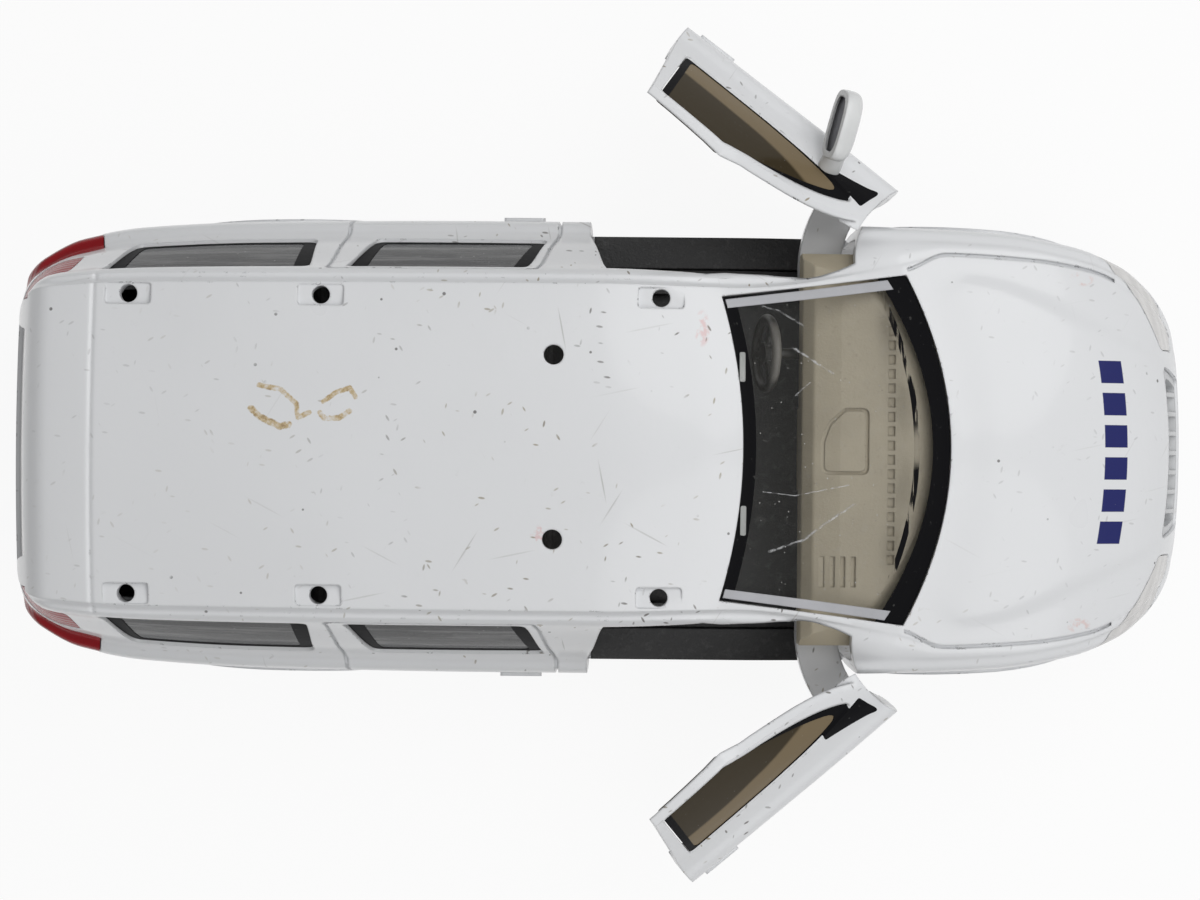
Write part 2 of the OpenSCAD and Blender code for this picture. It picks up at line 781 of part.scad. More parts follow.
module chassis() {
    xs = [for (i = [0:plate_steps]) -plate_end * cos(180 * i / plate_steps)];
    outline = concat([for (x = xs) [x, plate_y(x)]], [for (i = [plate_steps:-1:0]) [xs[i], -plate_y(xs[i])]]);
    color([0.12, 0.12, 0.13])
        difference() {
            union() {
                translate([0, 0, plate_z]) linear_extrude(plate_t) difference() {
                    polygon(outline);
                    for (x = [front_axle_x, rear_axle_x], s = [-1, 1])
                        translate([x, s * (well_y + half_w / 2)])
                            square([2 * well_half, half_w], center = true);
                    translate([rear_axle_x - case_axle_r - motor_fit, -case_half - motor_fit])
                        square([barrel_x - rear_axle_x + case_axle_r + case_r + 2 * motor_fit,
                                2 * (case_half + motor_fit)]);
                }
                for (x = [front_axle_x, rear_axle_x]) both_sides() {
                    axle_bar(x, axle_z, carrier_r, carrier_y[0], carrier_y[1]);
                    translate([x - carrier_r, carrier_y[0], plate_z])
                        cube([2 * carrier_r, carrier_y[1] - carrier_y[0], axle_z - plate_z]);
                }
                for (y = [-6, 0, 6]) translate([at_x(-12), y - 0.4, plate_z - 0.5]) cube([at_x(34), 0.8, 1]);
            }
            for (x = [front_axle_x, rear_axle_x])
                axle_bar(x, axle_z, axle_r + run_fit, -half_w, half_w);
            for (x = post_xs) translate([x, 0, plate_z - 1]) {
                cylinder(d = screw_dia + 2 * seat_fit, h = plate_t + 2, $fn = 48);
                cylinder(d = screw_head + 2 * seat_fit, h = 1.7, $fn = 48);
            }
        }
}

screw_len = 8;
module base_screws() {
    color("silver")
        for (x = post_xs) translate([x, 0, plate_z + 0.05]) difference() {
            union() {
                cylinder(d = screw_head, h = 0.65, $fn = 48);
                cylinder(d = screw_dia, h = screw_len, $fn = 48);
            }
            for (a = [0, 90]) rotate(a) translate([-1.1, -0.2, -0.5]) cube([2.2, 0.4, 0.85]);
        }
}

// Interior tub: a low front floor, a riser and a raised deck over the motor
tub_z = plate_top + 0.1;
tub_front = hinge_x - 6.6;
riser_x = barrel_x + case_r + tab_size.x + 0.4;
deck_z = wheel_dia + 1.4;
deck_end = -half_l + 8;
tub_y = half_w - 5.6;
tub_sill = tub_z + 3.4;
bulkhead_top = ear_z;

function deck_y(x) = curve(x, plan_line) - wall - 1.6;

module interior_tub() {
    xs = [for (i = [0:8]) deck_end + (riser_x + tub_wall - deck_end) * i / 8];
    deck = concat([for (x = xs) [x, deck_y(x)]], [for (i = [8:-1:0]) [xs[i], -deck_y(xs[i])]]);
    color([0.2, 0.2, 0.21])
        difference() {
            union() {
                translate([riser_x, -tub_y, tub_z]) cube([tub_front - riser_x, 2 * tub_y, tub_sill - tub_z]);
                translate([riser_x, -tub_y, tub_z]) cube([tub_wall, 2 * tub_y, deck_z - tub_z]);
                translate([tub_front - tub_wall, -tub_y, tub_z])
                    cube([tub_wall, 2 * tub_y, bulkhead_top - tub_z]);
                translate([0, 0, deck_z - tub_wall]) linear_extrude(tub_wall) polygon(deck);
                both_sides() translate([tub_front - tub_wall, hinge_y - boss_r, ear_z])
                    cube([hinge_x - tub_front + tub_wall, 2 * boss_r, arm_z - hinge_gap - ear_z]);
                both_sides() at_hinge() translate([0, 0, ear_z])
                    cylinder(r = boss_r, h = arm_z - hinge_gap - ear_z, $fn = 48);
                both_sides() translate([tub_front - tub_wall, hinge_y - boss_r, tub_z])
                    cube([tub_wall, boss_r, arm_z - hinge_gap - tub_z]);
            }
            translate([riser_x + tub_wall, -tub_y + tub_wall, tub_z + tub_wall])
                cube([tub_front - riser_x - 2 * tub_wall, 2 * (tub_y - tub_wall), tub_sill]);
            both_sides() at_hinge() translate([0, 0, ear_z - 1])
                cylinder(r = trunnion_r + run_fit, h = arm_z - ear_z + 2, $fn = 48);
        }
}

// Dashboard with its centre stack; it fits under the windscreen and bonnet
dash_x = hinge_x - 13.8;
dash_z = boss_z;
dash_top = window_base - 0.8;
stack_half = 4.6;
dash_fit = 0.35;
module dashboard() {
    color([0.64, 0.59, 0.49])
        freeform() {
            difference() {
                intersection() {
                    loft(flange_d + glass_t + dash_fit, plain = true);
                    across(-half_w, half_w) rounded(0.7) polygon([
                        [dash_x, dash_z], [dash_x, dash_top - 1.6], [dash_x + 1.2, dash_top - 0.4],
                        [dash_x + 4, dash_top], [screen_base_x + 4, dash_top], [screen_base_x + 4, dash_z]]);
                }
                both_sides() at_hinge() cylinder(r = boss_r + dash_fit, h = 60, $fn = 40);
            }
            translate([dash_x + 1, -stack_half, tub_z + tub_wall])
                cube([5, 2 * stack_half, dash_z - tub_z]);
        }
}

seat_width = tub_y - 5.9;
seat_y = tub_y / 2 + 0.05;
steering_at = [dash_x - 3.6, seat_y + 1, dash_z + 0.33 * (dash_top - dash_z)];
column_tilt = 104;
rim_r = 0.5;
module steering_wheel() {
    column = (dash_x - steering_at.x) / sin(column_tilt) - 0.35;
    ring_r = steering_dia / 2 - rim_r;
    color([0.5, 0.5, 0.48])
        translate(steering_at) rotate([0, column_tilt, 0]) {
            rotate_extrude($fn = 64) translate([ring_r, 0]) circle(r = rim_r, $fn = 24);
            for (a = [0, 120, 240]) rotate(a) translate([0, -0.4, -0.25]) cube([ring_r, 0.8, 0.5]);
            cylinder(r = 1.2, h = 0.9, center = true, $fn = 32);
            cylinder(r = 0.6, h = column, $fn = 32);
        }
}

// Seats: a side profile with a cushion and a leaning back, carried across
seat_floor = tub_z + tub_wall;
seat_room = roof_height - seat_floor;
module seat_profile(depth, back, rise) {
    rounded(0.9) polygon([
        [0, 0], [depth - 2, 0], [depth, rise - 2.2], [depth - 0.6, rise], [4.6, rise - 0.8], [1.4, back],
        [-1.8, back], [-1.2, rise - 2]]);
}

module seat_form(width, depth, back, rise, bolster) {
    across(-width / 2, width / 2) seat_profile(depth, back, rise);
    for (s = [-1, 1]) translate([0, s * (width - bolster) / 2, 0])
        across(-bolster / 2, bolster / 2) offset(delta = 0.6) seat_profile(depth, back, rise);
}

module head_rest(foot, top) {
    across(-2.6, 2.6) rounded(0.8) polygon([[-1.6, foot], [1, foot], [0.4, top], [-2.4, top]]);
}

module front_seat() {
    color([0.23, 0.22, 0.22])
        translate([door_rear_x - 5.5, seat_y, seat_floor]) intersection() {
            union() {
                seat_form(seat_width, 15.5, 0.52 * seat_room, 8.2, 2.2);
                head_rest(0.52 * seat_room - 2, 0.67 * seat_room);
            }
            translate([-10, -seat_width, 0]) cube([40, 2 * seat_width, 40]);
        }
}

module left_front_seat() {
    front_seat();
}

module right_front_seat() {
    mirror([0, 1, 0]) front_seat();
}

bench_x = rear_axle_x + 3.5;
bench_half = half_w - 6.4;
bench_room = roof_height - deck_z;
module rear_bench() {
    color([0.23, 0.22, 0.22])
        translate([bench_x, 0, deck_z]) intersection() {
            union() {
                seat_form(2 * bench_half, 11.5, 0.47 * bench_room, 4.2, 3);
                for (s = [-1, 1]) translate([0, s * (bench_half - 8), 0])
                    head_rest(0.47 * bench_room - 2.6, 0.6 * bench_room);
            }
            translate([-10, -half_w, 0]) cube([30, 2 * half_w, 30]);
        }
}

// Doors: one side is modelled closed on the left, then turned open about its hinge
strap = [door_edge_r + 0.6, door_edge_r + 5];
strap_turn = [140, 230];
spoke_turn = 222;
spoke_w = 2.6;
card_x = [door_rear_x + 2.2, hinge_x - strap[1] - 0.6];
card_t = 2.3;

module door_pose(side, opened) {
    on_side(side) at_hinge() rotate(-opened) translate([-hinge_x, -hinge_y, 0]) children();
}

module door_prism(shrink) {
    difference() {
        across(12, side_reach) door_outline(shrink);
        at_hinge() cylinder(r = door_edge_r, h = 60, $fn = 56);
    }
}

module hinge_arm() {
    at_hinge() translate([0, 0, arm_z]) linear_extrude(arm_top - arm_z) {
        difference() {
            circle(r = strap[1], $fn = 56);
            circle(r = strap[0], $fn = 56);
            rotate(strap_turn[1] - 180) translate([-40, -40]) square([80, 40]);
            rotate(strap_turn[0]) translate([-40, -40]) square([80, 40]);
        }
        rotate(spoke_turn) translate([0, -spoke_w / 2]) square([strap[0] + 1, spoke_w]);
        circle(r = boss_r, $fn = 40);
    }
}

module door_panel() {
    color("white") {
        freeform() {
            difference() {
                intersection() {
                    band(0, door_wall);
                    door_prism(door_gap);
                }
                across(12, side_reach) door_window();
                screen_prism(0, 0.5);
            }
            handle(door_rear_x + 1.6);
            intersection() {
                hinge_arm();
                loft(door_wall / 2, plain = true);
            }
        }
        at_hinge() translate([0, 0, ear_z + 0.1])
            cylinder(r = trunnion_r, h = trunnion_top - ear_z - 0.1, $fn = 48);
    }
}

module door_card() {
    color([0.47, 0.41, 0.31])
        freeform() intersection() {
            band(door_wall + 0.08, door_wall + card_t, inside = true);
            across(12, side_reach) difference() {
                rounded(0.6) polygon([
                    [card_x[0], door_sill + 2], [card_x[0], window_base - 0.7],
                    [card_x[1] - 2, window_base - 0.7], [card_x[1], window_base - 3],
                    [card_x[1], door_sill + 2]]);
                rounded(0.5) polygon([
                    [card_x[0] + 3, door_sill + 3.5], [card_x[0] + 3, door_sill + 7],
                    [card_x[1] - 3, door_sill + 7], [card_x[1] - 3, door_sill + 3.5]]);
            }
        }
}

module door_glass() {
    color([0.42, 0.38, 0.3, 0.5])
        freeform() {
            intersection() {
                band(pane_d, door_wall + 0.4);
                across(12, side_reach) door_window(-pane_fit);
            }
            intersection() {
                band(door_wall + 0.1, door_wall + 0.1 + glass_t, inside = true);
                across(12, side_reach) intersection() {
                    door_window(flange_w);
                    polygon([
                        [door_rear_x - 9, window_base - 0.55], [door_rear_x - 9, window_top - 2],
                        [roof_front_x - 2.9, window_top - 2], [pillar_foot.x - 4.8, window_base - 0.55]]);
                }
            }
        }
}

// Mirror on the left door: a housing on a foot, with its glass facing back
mirror_at = [pillar_foot.x - 7.1, half_w - 1.7, window_base + 1.7];
mirror_size = [3, 6.4, 4.2];
mirror_turn = 22;
module mirror_form(set_in) {
    hull() for (s = [-1, 1], y = [0.3, 1])
        translate([0, y * mirror_size.y, s * (mirror_size.z / 2 - 1.2)])
            scale([mirror_size.x / 2 - set_in, 1.2 - set_in, 1.2 - set_in]) sphere(r = 1, $fn = 16);
}

module at_mirror() {
    translate(mirror_at) rotate(mirror_turn) children();
}

module mirror_housing() {
    rear_slice = -mirror_size.x / 6;
    color("white")
        freeform() difference() {
            at_mirror() difference() {
                union() {
                    mirror_form(0);
                    hull() {
                        translate([0.3, 1.6, 0]) sphere(r = 1, $fn = 20);
                        translate([0.6, -1.2, -2.6]) sphere(r = 1.2, $fn = 20);
                    }
                }
                translate([rear_slice - 4, 0, -10]) cube([4, 20, 20]);
                intersection() {
                    mirror_form(0.45);
                    translate([-4, 0, -10]) cube([4, 20, 20]);
                }
            }
            loft(-press_fit);
        }
}

module mirror_plate() {
    color("lightsteelblue")
        freeform() at_mirror() intersection() {
            mirror_form(0.5);
            translate([-0.48, 0, -10]) cube([0.4, 20, 20]);
        }
}

module left_door_panel() {
    door_pose(1, left_open) door_panel();
}

module left_door_card() {
    door_pose(1, left_open) door_card();
}

module left_door_glass() {
    door_pose(1, left_open) door_glass();
}

module left_mirror() {
    door_pose(1, left_open) mirror_housing();
}

module left_mirror_glass() {
    door_pose(1, left_open) mirror_plate();
}

module right_door_panel() {
    door_pose(-1, right_open) door_panel();
}

module right_door_card() {
    door_pose(-1, right_open) door_card();
}

module right_door_glass() {
    door_pose(-1, right_open) door_glass();
}

// Wheels: a spoked hub and a ribbed tyre on a steel axle
axle_half = track / 2 + tyre_width / 2 - 0.6;
hub_r = hub_dia / 2;
spokes = 5;
module axle(x) {
    color("silver") axle_bar(x, axle_z, axle_r, -axle_half, axle_half);
}

module front_axle() {
    axle(front_axle_x);
}

module rear_axle() {
    axle(rear_axle_x);
}

// Turns a piece made about +Z, outward side up, onto one end of an axle
module on_axle(x, side) {
    on_side(side) translate([x, track / 2, axle_z]) rotate([-90, 0, 0]) children();
}

hub_face = tyre_width / 2 - 0.9;
module hub() {
    color("silver")
        difference() {
            rotate_extrude($fn = 96) polygon([
                [axle_r + press_fit, -tyre_width / 2 + 0.2], [2, -tyre_width / 2 + 0.2], [2.2, hub_face - 1.6],
                [hub_r - 1.1, hub_face - 1.6], [hub_r - 1.1, -tyre_width / 2 + 0.2],
                [hub_r, -tyre_width / 2 + 0.2], [hub_r, tyre_width / 2 - 0.2],
                [hub_r - 0.7, tyre_width / 2 - 0.2], [hub_r - 1, hub_face], [2.4, hub_face + 0.25],
                [1.8, hub_face + 0.7],
                [axle_r + press_fit, hub_face + 0.7]]);
            for (i = [0:spokes - 1]) rotate(360 * (i + 0.5) / spokes)
                translate([0, 0, hub_face - 0.7]) linear_extrude(2)
                    polygon([[2.6, -0.35], [hub_r - 1.2, -1.9], [hub_r - 1.2, 1.9], [2.6, 0.35]]);
        }
}

module tyre() {
    shoulder_r = wheel_r - 0.9;
    groove = 0.5;
    color([0.1, 0.1, 0.1])
        rotate_extrude($fn = 96) polygon([
            [hub_r + press_fit, -tyre_width / 2 + 0.3], [hub_r + 1.4, -tyre_width / 2],
            [shoulder_r, -tyre_width / 2 + 0.2], [wheel_r - 0.3, -tyre_width / 2 + 0.7],
            [wheel_r, -tyre_width / 2 + 1.4], [wheel_r, -groove * 1.6], [wheel_r - groove, -groove * 1.4],
            [wheel_r - groove, -groove * 0.6], [wheel_r, -groove * 0.4], [wheel_r, groove * 0.4],
            [wheel_r - groove, groove * 0.6], [wheel_r - groove, groove * 1.4], [wheel_r, groove * 1.6],
            [wheel_r, tyre_width / 2 - 1.4], [wheel_r - 0.3, tyre_width / 2 - 0.7],
            [shoulder_r, tyre_width / 2 - 0.2], [hub_r + 1.4, tyre_width / 2],
            [hub_r + press_fit, tyre_width / 2 - 0.3]]);
}

module front_left_hub() {
    on_axle(front_axle_x, 1) hub();
}

module front_left_tyre() {
    on_axle(front_axle_x, 1) tyre();
}

module front_right_hub() {
    on_axle(front_axle_x, -1) hub();
}

module front_right_tyre() {
    on_axle(front_axle_x, -1) tyre();
}

module rear_left_hub() {
    on_axle(rear_axle_x, 1) hub();
}

module rear_left_tyre() {
    on_axle(rear_axle_x, 1) tyre();
}

module rear_right_hub() {
    on_axle(rear_axle_x, -1) hub();
}

module rear_right_tyre() {
    on_axle(rear_axle_x, -1) tyre();
}

// Gear outline with involute flanks and short teeth; the first tooth points along +X
pressure_angle = 20;
function unwind(a) = tan(a) * 180 / PI - a;
function flank_turn(r, pitch_r, teeth) =
    let (base_r = pitch_r * cos(pressure_angle),
         a = acos(min(1, base_r / r)))
    90 / teeth - backlash / pitch_r * 90 / PI + unwind(pressure_angle) - unwind(a);
module gear_outline(teeth) {
    pitch_r = gear_module * teeth / 2;
    root_r = pitch_r - root_depth;
    base_r = max(root_r + 0.01, pitch_r * cos(pressure_angle));
    tip_r = pitch_r + tip_height;
    radii = [root_r, base_r, (base_r + tip_r) / 2, tip_r];
    polygon([for (i = [0:teeth - 1], s = [-1, 1], k = [0:3])
        let (r = s < 0 ? radii[k] : radii[3 - k],
             a = 360 * i / teeth + s * flank_turn(r, pitch_r, teeth))
        r * [cos(a), sin(a)]]);
}

// The two gears meet on the line between their shafts: a tooth of one in a gap of the other
mesh_turn = 8;
module drive_pinion() {
    color("gold")
        translate([rear_axle_x, gear_t / 2, axle_z]) rotate([90, 0, 0]) linear_extrude(gear_t) difference() {
            rotate(mesh_turn) gear_outline(pinion_teeth);
            circle(r = axle_r + press_fit, $fn = 48);
        }
}

drum_r = barrel_r - root_depth - 0.3;
drum_t = 2.6;
shaft_half = case_half - 0.1;
module spring_barrel() {
    color("ivory")
        translate([barrel_x, 0, barrel_z]) rotate([90, 0, 0]) {
            difference() {
                union() {
                    translate([0, 0, -gear_t / 2]) linear_extrude(gear_t)
                        rotate(mesh_turn + 180 + 180 / barrel_teeth) gear_outline(barrel_teeth);
                    translate([0, 0, gear_t / 2 - 0.2]) cylinder(r = drum_r, h = drum_t + 0.2, $fn = 72);
                }
                translate([0, 0, gear_t / 2]) cylinder(r = drum_r - 0.6, h = drum_t + 1, $fn = 72);
            }
            translate([0, 0, -shaft_half]) cylinder(r = barrel_shaft_r, h = 2 * shaft_half, $fn = 48);
        }
}

// Mainspring: a flat strip wound from the shaft to the drum
spring_turns = 4;
spring_t = 0.2;
module mainspring() {
    inner = barrel_shaft_r + 0.1;
    outer = drum_r - 0.6 - 0.1 - spring_t;
    steps = 20 * spring_turns;
    radius = [for (i = [0:steps]) inner + (outer - inner) * i / steps];
    color("slategray")
        translate([barrel_x, -gear_t / 2 - 0.1, barrel_z]) rotate([90, 0, 0]) linear_extrude(drum_t - 0.4)
            polygon(concat(
                [for (i = [0:steps]) radius[i] * [cos(18 * i), sin(18 * i)]],
                [for (i = [steps:-1:0]) (radius[i] + spring_t) * [cos(18 * i), sin(18 * i)]]));
}

module motor_half(side) {
    tab_x = [rear_axle_x - case_axle_r - tab_size.x, barrel_x + case_r];
    color([0.3, 0.3, 0.32])
        difference() {
            union() {
                across(side > 0 ? 0 : -case_half, side > 0 ? case_half : 0) case_outline();
                for (x = [tab_x[0], tab_x[1] - 1])
                    translate([x, side > 0 ? 0 : -tab_size.y / 2, plate_top + 0.02])
                        cube([tab_size.x + 1, tab_size.y / 2, tab_size.z]);
            }
            across(side > 0 ? -1 : case_wall - case_half, side > 0 ? case_half - case_wall : 1)
                case_outline(case_wall);
            axle_bar(rear_axle_x, axle_z, axle_r + run_fit, -half_w, half_w);
            axle_bar(barrel_x, barrel_z, barrel_shaft_r + run_fit, -half_w, half_w);
        }
}

module motor_case_left() {
    motor_half(1);
}

module motor_case_right() {
    motor_half(-1);
}

body_shell();
windscreen();
rear_glass();
left_side_glass();
right_side_glass();
left_headlamp();
right_headlamp();
left_tail_lamp();
right_tail_lamp();
grille();
chassis();
base_screws();
interior_tub();
dashboard();
steering_wheel();
left_front_seat();
right_front_seat();
rear_bench();
left_door_panel();
left_door_card();
left_door_glass();
left_mirror();
left_mirror_glass();
right_door_panel();
right_door_card();
right_door_glass();
front_axle();
rear_axle();
front_left_hub();
front_left_tyre();
front_right_hub();
front_right_tyre();
rear_left_hub();
rear_left_tyre();
rear_right_hub();
rear_right_tyre();
drive_pinion();
spring_barrel();
mainspring();
motor_case_left();
motor_case_right();
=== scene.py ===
"""Looks of a worn die-cast toy police car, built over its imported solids.

Sizes in the classes are millimetres in the car's own frame: +X forward, +Y to the car's left, +Z up.
"""

import logging
import math
from dataclasses import dataclass
from enum import Enum
from typing import Any, Iterable, Sequence

import bmesh
import bpy
import numpy as np
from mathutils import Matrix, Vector


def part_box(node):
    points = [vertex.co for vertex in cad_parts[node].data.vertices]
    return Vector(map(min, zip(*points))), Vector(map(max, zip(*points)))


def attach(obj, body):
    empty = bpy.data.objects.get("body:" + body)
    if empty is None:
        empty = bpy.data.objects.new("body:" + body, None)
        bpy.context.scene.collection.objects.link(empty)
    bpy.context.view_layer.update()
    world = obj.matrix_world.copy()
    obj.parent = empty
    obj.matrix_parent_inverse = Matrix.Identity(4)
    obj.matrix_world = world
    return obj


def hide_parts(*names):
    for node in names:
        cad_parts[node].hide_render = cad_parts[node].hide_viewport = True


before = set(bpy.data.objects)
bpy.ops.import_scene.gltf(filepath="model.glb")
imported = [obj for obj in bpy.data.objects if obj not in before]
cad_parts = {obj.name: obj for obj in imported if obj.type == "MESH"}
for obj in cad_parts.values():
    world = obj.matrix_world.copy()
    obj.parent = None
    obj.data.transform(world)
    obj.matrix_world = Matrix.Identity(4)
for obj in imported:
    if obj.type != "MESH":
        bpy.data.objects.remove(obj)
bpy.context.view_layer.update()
LOG = logging.getLogger("toy_car")
MM = 0.001
TALL = (0.0, 60.0)  # heights past the bottom and the top of the car
Point = tuple[float, float]
Colour = tuple[float, float, float]


class Side(Enum):
    """A side of the car; the value is the sign of Y there."""

    LEFT = 1
    RIGHT = -1

    @property
    def label(self) -> str:
        """The side as it stands in the names of pieces."""
        return self.name.lower()


class Cut(Enum):
    """How one solid acts on another."""

    AWAY = "DIFFERENCE"
    JOIN = "UNION"
    KEEP = "INTERSECT"


# Mesh making


@dataclass(frozen=True)
class Solid:
    """Points and faces of one closed mesh, in millimetres."""

    points: np.ndarray
    faces: list[tuple[int, ...]]

    def mirrored(self) -> "Solid":
        """Return the same solid on the other side of the car."""
        return Solid(self.points * np.array([1.0, -1.0, 1.0]), [tuple(reversed(f)) for f in self.faces])

    def turned(self, at: Point, degrees: float) -> "Solid":
        """Return the solid turned about an upright axis.

        Args:
            at: Place of the axis in X and Y.
            degrees: Turn, anticlockwise from above.

        Returns:
            The turned solid.
        """
        c, s = math.cos(math.radians(degrees)), math.sin(math.radians(degrees))
        x, y = self.points[:, 0] - at[0], self.points[:, 1] - at[1]
        return Solid(np.stack([at[0] + c * x - s * y, at[1] + s * x + c * y, self.points[:, 2]], 1), self.faces)

    @staticmethod
    def group(solids: Sequence["Solid"]) -> "Solid":
        """Return several solids that don't touch as one.

        Args:
            solids: The solids.

        Returns:
            One solid with all their points and faces.
        """
        starts = np.cumsum([0] + [len(s.points) for s in solids])
        faces = [tuple(int(i + a) for i in f) for s, a in zip(solids, starts) for f in s.faces]
        return Solid(np.concatenate([s.points for s in solids]), faces)

    @staticmethod
    def of(thing: bpy.types.Object) -> "Solid":
        """Return the solid of an object's mesh."""
        return Solid(np.array([v.co[:] for v in thing.data.vertices]) / MM,
                     [tuple(p.vertices) for p in thing.data.polygons])

    @staticmethod
    def tube(rings: Sequence[Sequence[Sequence[float]]]) -> "Solid":
        """Return the closed solid through rings with equal counts of points.

        Args:
            rings: Points of each ring, in order.

        Returns:
            The solid, with flat ends.
        """
        m, n = len(rings), len(rings[0])
        faces: list[tuple[int, ...]] = []
        for i in range(m - 1):
            for k in range(n):
                faces.append((i * n + k, i * n + (k + 1) % n, (i + 1) * n + (k + 1) % n, (i + 1) * n + k))
        faces += [tuple(range(n - 1, -1, -1)), tuple(range((m - 1) * n, m * n))]
        return Solid(np.array(rings, dtype=float).reshape(-1, 3), faces)

    @staticmethod
    def prism(low: np.ndarray, high: np.ndarray) -> "Solid":
        """Return the solid between two outlines with equal counts of points.

        Args:
            low: Points of the first outline.
            high: Points of the second.

        Returns:
            The solid.
        """
        n = len(low)
        sides = [(i, (i + 1) % n, n + (i + 1) % n, n + i) for i in range(n)]
        return Solid(np.concatenate([low, high]), [tuple(range(n - 1, -1, -1)), tuple(range(n, 2 * n)), *sides])


class Axis(Enum):
    """A direction of the car; the value is its place among the coordinates."""

    X = 0
    Y = 1
    Z = 2


def carried(outline: Sequence[Point], axis: Axis, start: float, stop: float) -> Solid:
    """Return an outline carried straight along an axis.

    Args:
        outline: Points in the two other coordinates, in order.
        axis: The direction.
        start: Where the solid starts on the axis.
        stop: Where it stops.

    Returns:
        The solid.
    """
    flat = np.array(outline, dtype=float)
    low, high = (np.insert(flat, axis.value, place, axis=1) for place in (start, stop))
    return Solid.prism(low, high)


def across(outline: Sequence[Point], y0: float, y1: float) -> Solid:
    """Return an outline in X and Z carried across the car from y0 to y1."""
    return carried(outline, Axis.Y, y0, y1)


def along(outline: Sequence[Point], x0: float, x1: float) -> Solid:
    """Return an outline in Y and Z carried along the car from x0 to x1."""
    return carried(outline, Axis.X, x0, x1)


def upright(outline: Sequence[Point], z0: float, z1: float) -> Solid:
    """Return an outline in plan carried up from z0 to z1."""
    return carried(outline, Axis.Z, z0, z1)


def circle(at: Point, radius: float, steps: int = 64) -> list[Point]:
    """Return points round a circle."""
    turns = [2 * math.pi * i / steps for i in range(steps)]
    return [(at[0] + radius * math.cos(a), at[1] + radius * math.sin(a)) for a in turns]


def rectangle(low: Point, high: Point) -> list[Point]:
    """Return the corners of a rectangle."""
    return [(low[0], low[1]), (high[0], low[1]), (high[0], high[1]), (low[0], high[1])]


def box(low: Sequence[float], high: Sequence[float]) -> Solid:
    """Return a block between two corners."""
    return upright(rectangle((low[0], low[1]), (high[0], high[1])), low[2], high[2])


def grown(outline: Sequence[Point], by: float) -> list[Point]:
    """Return an outline moved outward by a distance, with its corners kept sharp.

    Args:
        outline: Corner points in order.
        by: Distance; a negative one moves inward.

    Returns:
        The new corner points.
    """
    p = np.array(outline)
    area = np.sum(p[:, 0] * np.roll(p[:, 1], -1) - np.roll(p[:, 0], -1) * p[:, 1])
    edge = np.roll(p, -1, 0) - p
    edge /= np.linalg.norm(edge, axis=1, keepdims=True)
    normal = np.stack([edge[:, 1], -edge[:, 0]], 1) * math.copysign(1, area)
    before = np.roll(normal, 1, 0)
    bend = 1 + np.sum(before * normal, 1, keepdims=True)
    return [tuple(q) for q in p + by * (before + normal) / bend]


def rounded(outline: Sequence[Point], radius: float, steps: int = 6) -> list[Point]:
    """Return an outline with each corner replaced by an arc.

    Args:
        outline: Corner points in order.
        radius: Radius of the arcs; an arc takes less than half of each edge.
        steps: Spans in each arc.

    Returns:
        The points of the rounded outline.
    """
    p = [Vector(q) for q in outline]
    made: list[Point] = []
    for a, b, c in zip(p[-1:] + p[:-1], p, p[1:] + p[:1]):
        u, v = (a - b).normalized(), (c - b).normalized()
        half = u.angle(v) / 2
        reach = min(radius / math.tan(half), 0.45 * (a - b).length, 0.45 * (c - b).length)
        start, end = b + u * reach, b + v * reach
        for i in range(steps + 1):
            t = i / steps
            q = start * (1 - t) ** 2 + b * (2 * t * (1 - t)) + end * t**2
            made.append((q.x, q.y))
    return made


